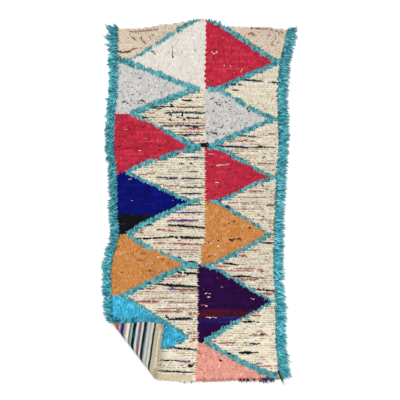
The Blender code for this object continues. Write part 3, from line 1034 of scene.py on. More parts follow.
# Tufts by their roots on the flat rug, with headings in radians from +X
Tufts = namedtuple("Tufts", "across up root heading length height tip width thick curl colour")


SPINE_STEP = 0.02
TINY = 1e-9


def joined(parts):
    return Tufts(*(np.concatenate(column) for column in zip(*parts)))


def spine(tufts, along_it):
    """Reach and height of a tuft's middle line, which rises, leans over and comes down to its tip."""
    s = along_it[None, :]
    reach = tufts.length[:, None] * (0.3 * s + 0.7 * s * s)
    rise = np.where(s < 0.5, 1 - (1 - 2 * s) ** 2, 1 - (1 - tufts.tip[:, None]) * (2 * s - 1) ** 2)
    return reach, tufts.root[:, None] + tufts.height[:, None] * rise


def carried(tufts, across, up, height):
    """Points of stiff locks that stand off the cloth's edge: each turns with the cloth at its own root."""
    turn = (np.clip(past_fold(tufts.across, tufts.up), 0.0, FOLD_ARC) / FOLD_RADIUS)[:, None]
    foot = folded(tufts.across, tufts.up, 0 * tufts.up)[:, None, :]
    ahead, aside = across - tufts.across[:, None], up - tufts.up[:, None]
    out = ahead * FOLD_OUT[0] + aside * FOLD_OUT[1]
    side = ahead * FOLD_ALONG[0] + aside * FOLD_ALONG[1]
    turned_out = out * np.cos(turn) - height * np.sin(turn)
    rise = out * np.sin(turn) + height * np.cos(turn)
    places = np.stack(
        [
            turned_out * FOLD_OUT[0] + side * FOLD_ALONG[0],
            turned_out * FOLD_OUT[1] + side * FOLD_ALONG[1],
            rise,
        ],
        axis=-1,
    )
    places = places + foot
    places[:, :, 2] = np.clip(places[:, :, 2], LEAST_HEIGHT, GREATEST_HEIGHT)
    return places


def laid_out(shape, tufts, stiff):
    """The places of a shape's points on every tuft, with the rug's corner turned over."""
    reach, height = spine(tufts, shape.along)
    ahead, above = spine(tufts, np.minimum(shape.along + SPINE_STEP, 1.0))
    behind, below = spine(tufts, np.maximum(shape.along - SPINE_STEP, 0.0))
    run, climb = ahead - behind, above - below
    size = np.maximum(np.hypot(run, climb), TINY)
    deep = shape.deep[None, :] * tufts.thick[:, None]
    side = shape.across[None, :] * tufts.width[:, None] + tufts.curl[:, None] * shape.along[None, :] ** 2
    forward = reach - deep * climb / size
    cos, sin = np.cos(tufts.heading)[:, None], np.sin(tufts.heading)[:, None]
    across = tufts.across[:, None] + forward * cos - side * sin
    up = tufts.up[:, None] + forward * sin + side * cos
    height = np.maximum(height + deep * run / size, LEAST_HEIGHT)
    return carried(tufts, across, up, height) if stiff else folded(across, up, height)


def planted(name, shape, tufts, material, stiff=False):
    """One mesh of all tufts, with each tuft's colour and two maps: one along a strand, one for baking."""
    count, points = len(tufts.across), len(shape.along)
    places = laid_out(shape, tufts, stiff).reshape(-1, 3)
    faces = (shape.faces[None] + points * np.arange(count)[:, None, None]).reshape(-1, 3)
    mesh = bpy.data.meshes.new(name)
    mesh.from_pydata(places, [], faces)
    colours = mesh.color_attributes.new("tuft_colour", "FLOAT_COLOR", "POINT")
    rgba = np.ones((count, points, 4), np.float32)
    rgba[:, :, :3] = tufts.colour[:, None, :]
    colours.data.foreach_set("color", rgba.ravel())
    corner = faces.ravel()
    tuft, point = corner // points, corner % points
    local = np.stack([shape.across[point] + 0.5, shape.along[point]], axis=-1)
    strand = local + np.stack([tuft * 1.37, tuft * 0.61], axis=-1) * [1, 0]
    cells = math.ceil(math.sqrt(count))
    cell = np.stack([tuft % cells, tuft // cells], axis=-1)
    baked = (cell + 0.15 + 0.7 * local) / cells
    for title, places_on_map in (("strand", strand), ("OFBake", baked)):
        layer = mesh.uv_layers.new(name=title)
        layer.uv.foreach_set("vector", places_on_map.astype(np.float32).ravel())
    mesh.shade_smooth()
    mesh.materials.append(material)
    mesh.update()
    return placed(name, mesh)


def placed(name, mesh):
    piece = bpy.data.objects.new(name, mesh)
    bpy.context.scene.collection.objects.link(piece)
    return piece


def dressed(piece, slot, *nodes):
    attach(piece, BODY)
    if nodes:
        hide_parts(*nodes)
    return piece


# Where the random draws start. The fields and the shags count on from theirs.
SEEDS = {
    "knots": 1,
    "yarns": 2,
    "fields": 10,
    "outlines": 30,
    "rags": 40,
    "wefts": 41,
    "strands": 45,
    "plain_ends": 50,
    "shags": 60,
    "near_end": 70,
    "wisps": 80,
}

# Where the knots lie and which yarn each one takes


def knot_places(row_pitch, knot_pitch, rng):
    """Rows of knots over a little more than the whole rug, each wavy and uneven."""
    rows = np.arange(-0.88, 0.90, row_pitch)
    columns = np.arange(-0.52, 0.47, knot_pitch)
    across, up = np.meshgrid(columns, rows)
    across = across + (np.arange(len(rows)) % 2)[:, None] * knot_pitch / 2
    across = (across + rng.uniform(-0.18, 0.18, across.shape) * knot_pitch).ravel()
    up = up.ravel()
    up = up + 0.003 * np.sin(7 * across + 9 * up) + rng.uniform(-0.1, 0.1, up.shape) * row_pitch
    return across, up


FAR_MARGIN = 2 * MM
CALM_FROM = (30 * MM, 330 * MM)
RAGGED = 1.2 * MM


def inside_field(across, up, near_margin=0.0):
    """Whether a knot lies on the ground, clear of both selvedges and both ends."""
    return (
        (across > along(LEFT_EDGE, up) + SELVEDGE)
        & (across < along(RIGHT_EDGE, up) - SELVEDGE)
        & (up < along(FAR_LINE, across) - FAR_MARGIN)
        & (up > along(NEAR_LINE, across) + near_margin)
    )


def calm(across, up):
    """Where the cream fields are plain: on the right, towards the far end."""
    return (across > CALM_FROM[0]) & (up > CALM_FROM[1])


def yarn_at(across, up, rng):
    """The yarn of each knot: its field's, or teal on the zigzag."""
    yarn = np.full(across.shape, "cream", dtype="U12")
    ragged = rng.normal(0.0, RAGGED, across.shape)
    fingers = ragged + FINGER * wavy(across, up * 0.15, FINGER_WAVE, 60.0)
    on_left = across + 0.4 * ragged < along(SEAM_LINE, up)
    for side, here in (("left", on_left), ("right", ~on_left)):
        passed = np.zeros(across.shape, int)
        teal = np.zeros(across.shape, bool)
        for leg in range(LEGS):
            line = LEG_LINES[side][leg]
            middle = np.interp(across, line.places, line.middle)
            half = np.interp(across, line.places, line.half)
            low, high = sorted(turn.across for turn in ZIGZAG[side][leg : leg + 2])
            on_leg = (across > low - TURN_MARGIN) & (across < high + TURN_MARGIN)
            teal |= on_leg & (np.abs(up + fingers - middle) < half)
            passed += (up + fingers < middle).astype(int)
        names = np.array([getattr(zone, side) for zone in ZONES])
        yarn[here] = names[passed[here]]
        yarn[here & teal] = "teal"
    apex = (yarn == "plain_end") & (np.abs(across - along(SEAM_LINE, up)) < APEX_WIDTH)
    yarn[apex] = np.where(on_left, "white", "red")[apex]
    low_end = (up < along(NEAR_LINE, across) + NEAR_PLAIN) & (across < along(SEAM_LINE, up) - 20 * MM)
    yarn[low_end & (yarn == "cream")] = "near_plain"
    for band in FIELD_BANDS:
        level = up + 2 * ragged
        yarn[(yarn == band.field) & (level > band.bottom) & (level < band.top)] = band.yarn
    return yarn


# Kinds of pile: row and knot pitch, sizes and tip height of the tufts, all as shares of the rug's own,
# how much their headings and sides vary, and the share of longer and thinner tufts
PileKind = namedtuple("PileKind", "row knot length height tip width thick spread curl wisps")
SHORT = PileKind(1.0, 1.15, 1.1, 0.8, 0.6, 2.4, 0.4, 0.05, 0.6 * MM, 0.0)
SMOOTH = PileKind(1.0, 1.0, 1.55, 0.8, 0.85, 2.1, 0.28, 0.08, 1.0 * MM, 0.0)
EVEN = PileKind(1.0, 1.0, 1.6, 0.8, 0.4, 2.3, 0.34, 0.05, 0.6 * MM, 0.0)
BRISTLY = PileKind(0.46, 0.52, 1.0, 1.05, 0.4, 0.62, 0.32, 0.2, 2.0 * MM, 0.14)
HAIRY = PileKind(0.55, 0.7, 1.6, 1.2, 0.5, 0.85, 0.35, 0.3, 4.0 * MM, 0.2)
DOWN = -math.pi / 2


def pile_tufts(across, up, colour, kind, sizes, rng):
    """Tufts of one kind of pile, pressed flat where the turned corner lies on them."""
    count = len(across)
    free = standing(across, up)
    wisp = rng.random(count) < kind.wisps
    return Tufts(
        across=across,
        up=up,
        root=np.full(count, GROUND_TOP - 1 * MM),
        heading=DOWN + rng.normal(0.0, kind.spread, count) * np.where(wisp, 2.4, 1.0),
        length=sizes.pile_length * kind.length * rng.uniform(0.9, 1.1, count) * np.where(wisp, 1.5, 1.0),
        height=sizes.pile_height * kind.height * rng.uniform(0.96, 1.04, count) * free,
        tip=kind.tip * rng.uniform(0.85, 1.1, count),
        width=sizes.knot_pitch * kind.width * rng.uniform(0.9, 1.15, count) * np.where(wisp, 0.6, 1.0),
        thick=sizes.knot_pitch * kind.thick * rng.uniform(0.9, 1.1, count) * free,
        curl=rng.normal(0.0, kind.curl, count),
        colour=colour,
    )


# The fields that share a piece: how strongly the rows of their yarn differ, how long its patches of one
# shade are against their height, how much paler it is towards the near end (darker below zero), how
# light the painted shade leaves its roots, how strong its fibres show, and how its tufts stand and are made
FieldPiece = namedtuple("FieldPiece", "title yarns streaks patch faded root_shade grain kind lock")
FIELD_PIECES = (
    FieldPiece("undyed_pile", ("cream",), 0.10, 4.0, 0.17, 0.95, 0.7, SHORT, SHORT_LOCK),
    FieldPiece("white_and_grey_pile", ("white", "grey"), 0.04, 1.5, 0.0, 1.0, 0.3, EVEN, PILE_LOCK),
    FieldPiece("red_pile", ("red",), 0.26, 9.0, 0.0, 0.92, 0.8, SMOOTH, PILE_LOCK),
    FieldPiece("navy_pile", ("navy", "black"), 0.25, 7.0, 0.0, 0.92, 0.8, SMOOTH, PILE_LOCK),
    FieldPiece("orange_pile", ("orange",), 0.14, 3.0, 0.0, 0.92, 0.8, SMOOTH, PILE_LOCK),
    FieldPiece("purple_pile", ("purple", "maroon", "indigo"), 0.30, 7.0, 0.0, 0.92, 0.8, SMOOTH, PILE_LOCK),
    FieldPiece("pink_pile", ("pink",), 0.08, 1.5, 0.05, 0.92, 0.8, SMOOTH, PILE_LOCK),
    FieldPiece("sky_blue_pile", ("sky_blue",), 0.10, 1.0, -0.10, 0.88, 1.0, HAIRY, PILE_LOCK),
)
NEAR_TONE_FROM, NEAR_TONE_OVER = -380 * MM, 380 * MM
CLOUDS = 0.08
ROW_STRETCH = 0.12
OUTLINES = FieldPiece("zigzag_pile", ("teal",), 0.18, 1.0, 0.05, 0.90, 1.0, BRISTLY, SHORT_LOCK)


def build_pile(field, sizes, seed):
    """The knots of some yarns as one piece."""
    rng = np.random.default_rng(seed)
    kind = field.kind
    places = np.random.default_rng(SEEDS["knots"])
    across, up = knot_places(sizes.row_pitch * kind.row, sizes.knot_pitch * kind.knot, places)
    reach = sizes.pile_length * kind.length
    keep = inside_field(across, up, 0.85 * reach)
    across, up = across[keep], up[keep]
    yarn = yarn_at(across, up - 0.4 * reach, np.random.default_rng(SEEDS["yarns"]))
    chosen = np.isin(yarn, field.yarns)
    across, up, yarn = across[chosen], up[chosen], yarn[chosen]
    colour = np.zeros((len(across), 3))
    grouped = np.clip(0.5 + 1.1 * wavy(across / field.patch, up, 12 * MM, seed + 0.3), 0.0, 1.0)
    for name in field.yarns:
        own = yarn == name
        colour[own] = drawn(name, int(own.sum()), rng, grouped[own])
    # Each field turns paler towards the near end by its share, darker where that share is below zero
    faded = field.faded * eased((NEAR_TONE_FROM - up) / NEAR_TONE_OVER)
    clouds = CLOUDS * wavy(across, up, 50 * MM, seed)
    shade = 1 + faded + clouds + field.streaks * wavy(across * ROW_STRETCH, up, 9 * MM, seed)
    colour = np.clip(colour * shade[:, None], 0.0, 1.0)
    tufts = pile_tufts(across, up, colour, kind, sizes, rng)
    material = wool(f"{field.title}_wool", field.root_shade, field.grain)
    return planted(field.title, lock_shape(field.lock, 5, 0.0), tufts, material)


def line_tufts(across, up, thick, colour, rng, root, uneven=1 * MM):
    """Short beads of a rag or weft, end to end along +X."""
    count = len(across)
    flat = standing(across, up)
    return Tufts(
        across=across - 5 * MM,
        up=up,
        root=np.full(count, root) * flat,
        heading=rng.normal(0.0, 0.2, count),
        length=rng.uniform(8, 12, count) * MM,
        height=(3.5 * MM + uneven * rng.uniform(-1, 1, count)) * flat,
        tip=rng.uniform(0.3, 0.7, count),
        width=thick,
        thick=thick * 0.8,
        curl=rng.normal(0.0, 1.0 * MM, count),
        colour=colour,
    )


# Soft ridges and troughs of the turned corner's back, by how far they lie from the near end
CREASES = table("Crease", "reach:mm width:mm rise:mm", [(3, 9, 1.0), (13, 10, -1.6), (29, 16, 1.8)])
CREASE_ROOM = 2.0 * MM
CREASES_FROM = 30 * MM


def creases(across, up):
    """How far the turned cloth sinks below its even level, so that its back shows the creases."""
    reach = up - along(NEAR_LINE, across)
    rise = MM * wavy(across, up, 70 * MM, 8.0)
    for crease in CREASES:
        rise = rise + crease.rise * np.exp(-(((reach - crease.reach) / crease.width * 2) ** 2))
    turned = eased((past_fold(across, up) - FOLD_ARC) / CREASES_FROM)
    return (CREASE_ROOM - rise) * turned


GROUND_COLUMNS, GROUND_ROWS = 60, 130
FAR_RIM = 6 * MM
FOLD_CUTS = 12


def flat_place(share, rise):
    """Where a place of the ground, given as shares of its width and length, lies on the flat rug."""
    up = -0.875 + 1.74 * rise
    for _ in range(3):
        left, right = along(LEFT_EDGE, up), along(RIGHT_EDGE, up)
        across = left + (right - left) * share
        near, far = along(NEAR_LINE, across), along(FAR_LINE, across) - FAR_RIM
        up = near + (far - near) * rise
    return across, up


class RUG_OT_ground(bpy.types.Operator):
    """The woven ground as one thin sheet, turned over at its near left corner"""

    bl_idname = "rug.ground"
    bl_label = "Woven ground"

    def execute(self, context):
        bm = bmesh.new()
        bmesh.ops.create_grid(bm, x_segments=GROUND_COLUMNS, y_segments=GROUND_ROWS, size=0.5)
        for vert in bm.verts:
            vert.co = (*flat_place(vert.co.x + 0.5, vert.co.y + 0.5), 0.0)
        grown = bmesh.ops.extrude_face_region(bm, geom=bm.faces[:])
        for vert in grown["geom"]:
            if isinstance(vert, bmesh.types.BMVert):
                vert.co.z = GROUND_TOP
        bmesh.ops.recalc_face_normals(bm, faces=bm.faces[:])
        for n in range(-1, FOLD_CUTS + 2):
            past = FOLD_ARC * n / FOLD_CUTS
            foot = FOLD_FROM + FOLD_OUT * (past - FOLD_RADIUS)
            bmesh.ops.bisect_plane(
                bm,
                geom=bm.verts[:] + bm.edges[:] + bm.faces[:],
                dist=1e-6,
                plane_co=(*foot, 0.0),
                plane_no=(*FOLD_OUT, 0.0),
            )
        flat_map = bm.loops.layers.uv.new("flat")
        for face in bm.faces:
            for loop in face.loops:
                place = loop.vert.co
                loop[flat_map].uv = (place.x, place.y - along(NEAR_LINE, place.x))
        area = sum(face.calc_area() for face in bm.faces if face.normal.z > 0.5)
        points = np.array([vert.co[:] for vert in bm.verts])
        raised = points[:, 2] + creases(points[:, 0], points[:, 1])
        for vert, place in zip(bm.verts, folded(points[:, 0], points[:, 1], raised)):
            vert.co = place
        mesh = bpy.data.meshes.new("ground_weave")
        bm.to_mesh(mesh)
        bm.free()
        mesh.materials.append(woven_ground(context.scene.rug_colours))
        piece = dressed(placed("ground_weave", mesh), "pile", "woven_field")
        return {"FINISHED"}


class RUG_OT_pile(bpy.types.Operator):
    """The knotted pile of the fields, one piece for each group of like yarns"""

    bl_idname = "rug.pile"
    bl_label = "Field pile"

    def execute(self, context):
        for seed, field in enumerate(FIELD_PIECES, start=SEEDS["fields"]):
            dressed(build_pile(field, context.scene.rug_sizes, seed), "pile")
        return {"FINISHED"}


class RUG_OT_outlines(bpy.types.Operator):
    """The bristly teal zigzag between the fields"""

    bl_idname = "rug.outlines"
    bl_label = "Zigzag outlines"

    def execute(self, context):
        dressed(build_pile(OUTLINES, context.scene.rug_sizes, SEEDS["outlines"]), "shag")
        return {"FINISHED"}


# Rags: how far their beads lie apart, what share of the beads is missing, how far a rag wanders and how
# high it lies
BEAD_PITCH = 5.5 * MM
MISSING_BEADS = 0.12
RAG_WANDER, WANDER_WAVE = 2.2 * MM, 22 * MM
RAG_ROOT = 9 * MM

# Wefts between the knots, darkened to paint part of the shade between the rows: how far apart they lie in
# a row, the share of them that shows and how high they lie
THREAD_PITCH = 9 * MM
THREAD_SHARE = 0.8
THREAD_ROOT = 8.5 * MM
NEAR_MARGIN = 12 * MM


def rag_beads(line, rng):
    """Places, thicknesses and colours of one rag's beads, thickest at its middle."""
    span = line.stop - line.start
    count = max(2, round(span / BEAD_PITCH))
    share = (np.arange(count) + rng.uniform(-0.3, 0.3, count)) / (count - 1)
    share = share[rng.random(count) > MISSING_BEADS]
    wander = RAG_WANDER * wavy(share * span, 0 * share, WANDER_WAVE, line.up * 50)
    up = line.up - line.fall * (share - 0.5) + wander + rng.normal(0, 0.5 * MM, len(share))
    body = 0.6 + 0.6 * np.sin(np.pi * np.clip(share, 0.02, 0.98))
    thick = (line.thick + 1 * MM) * body * rng.uniform(0.8, 1.2, len(share))
    return line.start + span * share, up, thick, drawn(line.yarn, len(share), rng)


def weft_and_row_shade_beads(sizes, rng):
    """Places, thicknesses and colours of the wefts that show in runs between the cream knots, darker beads
    that also paint shade between the rows.
    """
    across, up = knot_places(sizes.row_pitch, THREAD_PITCH, np.random.default_rng(SEEDS["wefts"]))
    runs = (wavy(across * ROW_STRETCH, up, 10 * MM, 3.0) > 0.1) & ~calm(across, up)
    keep = inside_field(across, up, NEAR_MARGIN) & runs & (rng.random(len(across)) < THREAD_SHARE)
    across, up = across[keep], up[keep]
    yarn = yarn_at(across, up, rng)
    across, up = across[yarn == "cream"], up[yarn == "cream"]
    colour = drawn("weft", len(across), rng)
    return across, up, rng.uniform(1.8, 3.2, len(across)) * MM, colour


class RUG_OT_rags(bpy.types.Operator):
    """Rags and wefts that show between the rows of the cream fields, the wefts darkened as painted shade
    there
    """

    bl_idname = "rug.rags"
    bl_label = "Rag lines"

    def execute(self, context):
        rng = np.random.default_rng(SEEDS["rags"])
        material = wool("rag_cotton", 0.8)
        rags = [np.concatenate(column) for column in zip(*(rag_beads(line, rng) for line in RAG_LINES))]
        tufts = line_tufts(*rags, rng, RAG_ROOT)
        dressed(planted("rag_lines", lock_shape(BEAD, 5), tufts, material), "pile")
        threads = weft_and_row_shade_beads(context.scene.rug_sizes, rng)
        tufts = line_tufts(*threads, rng, THREAD_ROOT)
        dressed(planted("weft_threads", lock_shape(BEAD, 5), tufts, material), "pile")
        return {"FINISHED"}


STRAND_ROOT = 10.5 * MM
CALM_STRANDS = 0.3


def strand_tufts(across, up, long, thick, slant, colour, rng):
    """Short strands that lie on top of the pile, each about its own middle."""
    count = len(across)
    flat = standing(across, up)
    return Tufts(
        across=across - 0.5 * long * np.cos(slant),
        up=up - 0.5 * long * np.sin(slant),
        root=np.full(count, STRAND_ROOT) * flat,
        heading=slant,
        length=long,
        height=rng.uniform(2.0, 3.5, count) * MM,
        tip=rng.uniform(0.4, 0.9, count),
        width=thick,
        thick=thick * 0.8,
        curl=rng.normal(0.0, 0.05, count) * long,
        colour=colour,
    )


class RUG_OT_strands(bpy.types.Operator):
    """Single strands of other yarns on the pile"""

    bl_idname = "rug.strands"
    bl_label = "Loose strands"

    def execute(self, context):
        sizes = context.scene.rug_sizes
        rng = np.random.default_rng(SEEDS["strands"])
        columns = [np.array(column) for column in zip(*FLECKS)]
        colour = np.concatenate([drawn(yarn, 1, rng) for yarn in columns[5]])
        parts = [strand_tufts(*columns[:5], colour, rng)]
        across, up = knot_places(sizes.row_pitch, sizes.knot_pitch, rng)
        keep = inside_field(across, up, NEAR_MARGIN)
        across, up = across[keep], up[keep]
        yarn = yarn_at(across, up, rng)
        for stray in STRAYS:
            share = np.where(calm(across, up) & (stray.pile == "cream"), CALM_STRANDS, 1.0) * stray.share
            own = (yarn == stray.pile) & (rng.random(len(across)) < share)
            count = int(own.sum())
            long = stray.long * rng.uniform(0.6, 1.4, count)
            thick = stray.thick * rng.uniform(0.7, 1.3, count)
            slant = rng.normal(0.0, 0.15 if stray.pile == "cream" else 0.4, count)
            colour = drawn(stray.yarn, count, rng)
            parts.append(strand_tufts(across[own], up[own], long, thick, slant, colour, rng))
        tufts = joined(parts)
        material = wool("strand_wool", 0.9)
        dressed(planted("loose_strands", lock_shape(BEAD, 5), tufts, material), "pile")
        return {"FINISHED"}


PLAIN_ROW_PITCH, PLAIN_KNOT_PITCH = 5.75 * MM, 7.5 * MM
PLAIN_ROOTS = {"plain_end": 2.5 * MM, "near_plain": 5.0 * MM}
PLAIN_UNEVEN = 0.2 * MM


def paler_towards_middle(across, up):
    """How much paler the plain far corners are away from the rim, and on the right towards the seam."""
    from_rim = 0.07 * eased((830 * MM - up) / (90 * MM))
    to_seam = 0.05 * eased((290 * MM - across) / (60 * MM)) * (across > 0)
    return from_rim + to_seam


class RUG_OT_plain_ends(bpy.types.Operator):
    """The flat-woven corners at the far end and the plain band at the near end"""

    bl_idname = "rug.plain_ends"
    bl_label = "Plain ends"

    def execute(self, context):
        rng = np.random.default_rng(SEEDS["plain_ends"])
        across, up = knot_places(PLAIN_ROW_PITCH, PLAIN_KNOT_PITCH, rng)
        keep = inside_field(across, up)
        across, up = across[keep], up[keep]
        yarn = yarn_at(across, up, rng)
        parts = []
        for name, root in PLAIN_ROOTS.items():
            own = yarn == name
            colour = drawn(name, int(own.sum()), rng)
            patches = 1 + 0.05 * wavy(across[own] * 0.15, up[own], 8 * MM, 7.0)
            # The plain corners are paler away from the far rim and towards the seam
            if name == "plain_end":
                patches = patches + paler_towards_middle(across[own], up[own])
            colour = colour * patches[:, None]
            thick = rng.uniform(8.5, 9.5, int(own.sum())) * MM
            parts.append(line_tufts(across[own], up[own], thick, colour, rng, root, PLAIN_UNEVEN))
        tufts = joined(parts)
        piece = planted("plain_ends", lock_shape(BEAD, 5, 0.0), tufts, wool("plain_wool", 0.97, 0.4))
        dressed(piece, "pile")
        return {"FINISHED"}


# Rows of locks from the pile outwards: how far in they are rooted, and their length, height and tip height
SHAG_ROWS = table("ShagRow", "inset:mm length height:mm tip", [
    (24, 0.72, 12, 0.75),
    (18, 0.80, 12, 0.6),
    (12, 0.85, 11, 0.45),
    (6, 0.9, 9, 0.25),
    (1.5, 0.85, 6, 0.05),
])
CLUMP_PITCH = 12 * MM
CLUMP_DRIFT = 6 * MM
UNEVEN = {"left": 1.0, "right": 0.45}
FLATTENED = 0.45

# By the height up the rug, for both edges: how far the locks lean towards the far end in degrees, how
# far they reach and how light they are as shares, and how much further in the innermost row is rooted
LEAN_COLUMNS = "up:mm left right reach_left reach_right tone_left tone_right inner_left:mm inner_right:mm"
SHAG_LEANS = table("ShagLean", LEAN_COLUMNS, [
    (-890, -20, -24, 0.9, 1.30, 0.95, 0.95, 0, 0),
    (-700, -10, -30, 0.9, 1.25, 0.95, 1.10, 0, 0),
    (-570, -6, -20, 0.97, 1.15, 0.98, 1.18, 0, 0),
    (-500, -4, -15, 0.84, 1.10, 1.00, 1.22, 0, 0),
    (-300, 0, -8, 0.87, 1.00, 1.04, 1.22, 0, 0),
    (-100, -6, -4, 0.79, 1.00, 0.88, 1.13, 0, -2),
    (100, -30, -2, 0.92, 1.05, 0.85, 1.06, -1, -2),
    (330, -34, -4, 0.85, 1.12, 0.84, 1.00, 3, 2),
    (500, -18, -8, 0.85, 1.08, 1.06, 0.95, 6, -3),
    (640, -10, -18, 0.8, 1.12, 1.07, 0.98, 7, 0),
    (760, 5, -16, 1.1, 1.08, 0.90, 0.90, 6, 4),
    (830, 22, 10, 1.2, 1.00, 0.74, 0.82, 4, 4),
    (870, 55, 55, 1.1, 1.05, 0.74, 0.80, 4, 4),
])


def shag_tufts(side, top, bottom, yarn, sizes, rng):
    """Locks in rows along an edge, rooted in its selvedge, lying outwards and gathered in loose clumps."""
    turn = 1 if side == "left" else -1
    line = LEFT_EDGE if side == "left" else RIGHT_EDGE
    clumps = np.arange(bottom - CLUMP_PITCH, top + 2 * CLUMP_PITCH, CLUMP_PITCH)
    clumps = clumps + rng.uniform(-0.6, 0.6, len(clumps)) * CLUMP_PITCH
    uneven = UNEVEN[side]
    reaches = 0.96 + uneven * rng.uniform(-0.16, 0.16, len(clumps))
    drifts = rng.normal(0, CLUMP_DRIFT, len(clumps))
    stations = [station.up for station in SHAG_LEANS]
    parts = []
    for row in SHAG_ROWS:
        up = np.arange(bottom, top, sizes.shag_pitch)
        up = up + rng.uniform(-0.5, 0.5, len(up)) * sizes.shag_pitch
        count = len(up)
        nearest = np.abs(up[:, None] - clumps[None, :]).argmin(axis=1)
        reach, tone, lean, inner = (
            np.interp(up, stations, [getattr(station, column) for station in SHAG_LEANS])
            for column in (f"reach_{side}", f"tone_{side}", side, f"inner_{side}")
        )
        inset = row.inset + inner * row.inset / SHAG_ROWS[0].inset
        across = along(line, up) + turn * (inset + rng.uniform(-3, 3, count) * MM)
        length = sizes.shag_length * row.length * reach * reaches[nearest] * rng.uniform(0.8, 1.1, count)
        gather = uneven * (0.6 * (clumps[nearest] - up) + drifts[nearest])
        gather = gather + rng.normal(0, (8 - 2 * uneven) * MM + 0.4 * row.inset * (1.4 - uneven), count)
        angle = np.radians(lean) + np.arctan2(gather, length)
        heading = math.pi - angle if side == "left" else angle
        free = 1 - FLATTENED * eased(past_fold(across, up) / FOLD_ARC)
        shades = 1 + (0.06 + 0.34 * uneven) * wavy(across * 0.3, up, 18 * MM, 5.0 + turn)
        shades = shades + rng.normal(0, 0.09, count)
        colour = drawn(yarn, count, rng) * (shades * tone)[:, None]
        parts.append(
            Tufts(
                across=across,
                up=up,
                root=np.full(count, 2.5 * MM),
                heading=heading,
                length=length,
                height=row.height * rng.uniform(0.8, 1.2, count) * free,
                tip=np.full(count, row.tip),
                width=rng.uniform(4.5, 7.5, count) * MM,
                thick=rng.uniform(3.5, 5.0, count) * MM * free,
                curl=rng.normal(0.0, 5 * MM, count),
                colour=np.clip(colour, 0.0, 1.0),
            )
        )
    return joined(parts)


class RUG_OT_shag(bpy.types.Operator):
    """The long teal locks of both edges and of the turned corner"""

    bl_idname = "rug.shag"
    bl_label = "Shaggy edges"

    def execute(self, context):
        sizes = context.scene.rug_sizes
        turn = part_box("left_shag")[0].y
        runs = (
            ("shag_left", "left", 0.854, turn, "shag_teal", "left_shag"),
            ("shag_corner", "left", turn, -0.862, "corner_teal", "corner_shag"),
            ("shag_right", "right", 0.845, -0.850, "shag_teal", "right_shag"),
        )
        material = wool("shag_wool", 0.78)
        for seed, (title, side, top, bottom, yarn, node) in enumerate(runs, start=SEEDS["shags"]):
            tufts = shag_tufts(side, top, bottom, yarn, sizes, np.random.default_rng(seed))
            dressed(planted(title, lock_shape(SHAG_LOCK, 6), tufts, material, stiff=True), "shag", node)
        return {"FINISHED"}


EndRun = namedtuple("EndRun", "places length yarn")
END_RUNS = [
    EndRun(np.arange(-185 * MM, -100 * MM, 7 * MM), 5 * MM, "ecru"),
    EndRun(np.arange(-98 * MM, -20 * MM, 7 * MM), 13 * MM, "end_white"),
    EndRun(np.arange(-20 * MM, 300 * MM, 5 * MM), 5 * MM, "pink"),
    EndRun(np.arange(300 * MM, 366 * MM, 4 * MM), 13 * MM, "tick"),
    EndRun(
        np.array((199, 203, 215, 219, 236, 241, 246, 264, 269, 297, 301, 314, 319)) * MM, 11 * MM, "tick"
    ),
]
END_INSETS = (9 * MM, 3 * MM)
END_ROOT = 3 * MM
TICK_RAISED = 9 * MM
END_OVERHANG = 5 * MM

# The strands of the loose yarn at the near right corner
LOOSE_YARN = table("YarnEnd", "across:mm up:mm heading length:mm height:mm tip curl:mm", [
    (382, -828, -1.12, 88, 7, -1.1, -5),
    (384, -832, -1.13, 80, 8, -1.1, 2),
    (386, -828, -1.17, 66, 9, -0.9, 4),
])

# Single fibres that stand out past the rug's rim: root, length, heading in degrees, thickness and yarn
WISPS = table("Wisp", "across:mm up:mm long:mm heading:degrees thick:mm yarn", [
    (-40, 862, 30, 112, 9, "shag_dark"),
    (-34, 862, 30, 98, 9, "teal"),
    (-30, 872, 26, 84, 8, "shag_dark"),
    (-24, 876, 22, 66, 8, "teal"),
    (-16, 880, 20, 40, 8, "shag_dark"),
    (-50, 858, 18, 125, 8, "teal"),
    (-6, 882, 16, 20, 6, "shag_dark"),
    (10, 884, 16, 110, 6, "rim_pink"),
    (18, 882, 18, 95, 7, "rim_pink"),
    (25, 880, 16, 70, 6, "rim_pink"),
    (35, 878, 16, 95, 6, "red"),
    (44, 876, 20, 75, 6, "shag_dark"),
    (50, 872, 28, 95, 8, "shag_dark"),
    (56, 872, 26, 80, 9, "teal"),
    (64, 868, 24, 60, 9, "shag_dark"),
    (72, 866, 22, 75, 9, "teal"),
    (104, 858, 28, 75, 9, "teal"),
    (80, 866, 28, 80, 8, "teal"),
    (94, 862, 27, 75, 8, "shag_dark"),
    (122, 852, 18, 80, 8, "teal"),
    (136, 848, 16, 60, 7, "shag_dark"),
    (-355, 842, 16, 95, 3, "rim_white"),
    (-76, -872, 24, -95, 8, "rim_white"),
    (-68, -872, 26, -84, 9, "rim_white"),
    (-60, -872, 20, -75, 8, "rim_white"),
    (-334, 842, 18, 85, 3, "rim_white"),
    (-300, 842, 10, 100, 3, "rim_white"),
    (-264, 845, 16, 80, 3, "rim_white"),
    (-190, 858, 10, 85, 3, "rim_white"),
    (212, 850, 9, 90, 3, "rim_white"),
    (254, 846, 12, 95, 4, "rag_black"),
    (292, 846, 8, 80, 3, "rim_white"),
    (-455, 806, 34, 168, 4, "shag_dark"),
    (-458, 770, 26, 196, 4, "shag_dark"),
    (-452, 856, 26, 130, 5, "shag_dark"),
    (440, -790, 26, 10, 4, "shag_teal"),
    (436, -760, 26, 20, 4, "shag_teal"),
    (430, -836, 40, -35, 6, "shag_teal"),
])


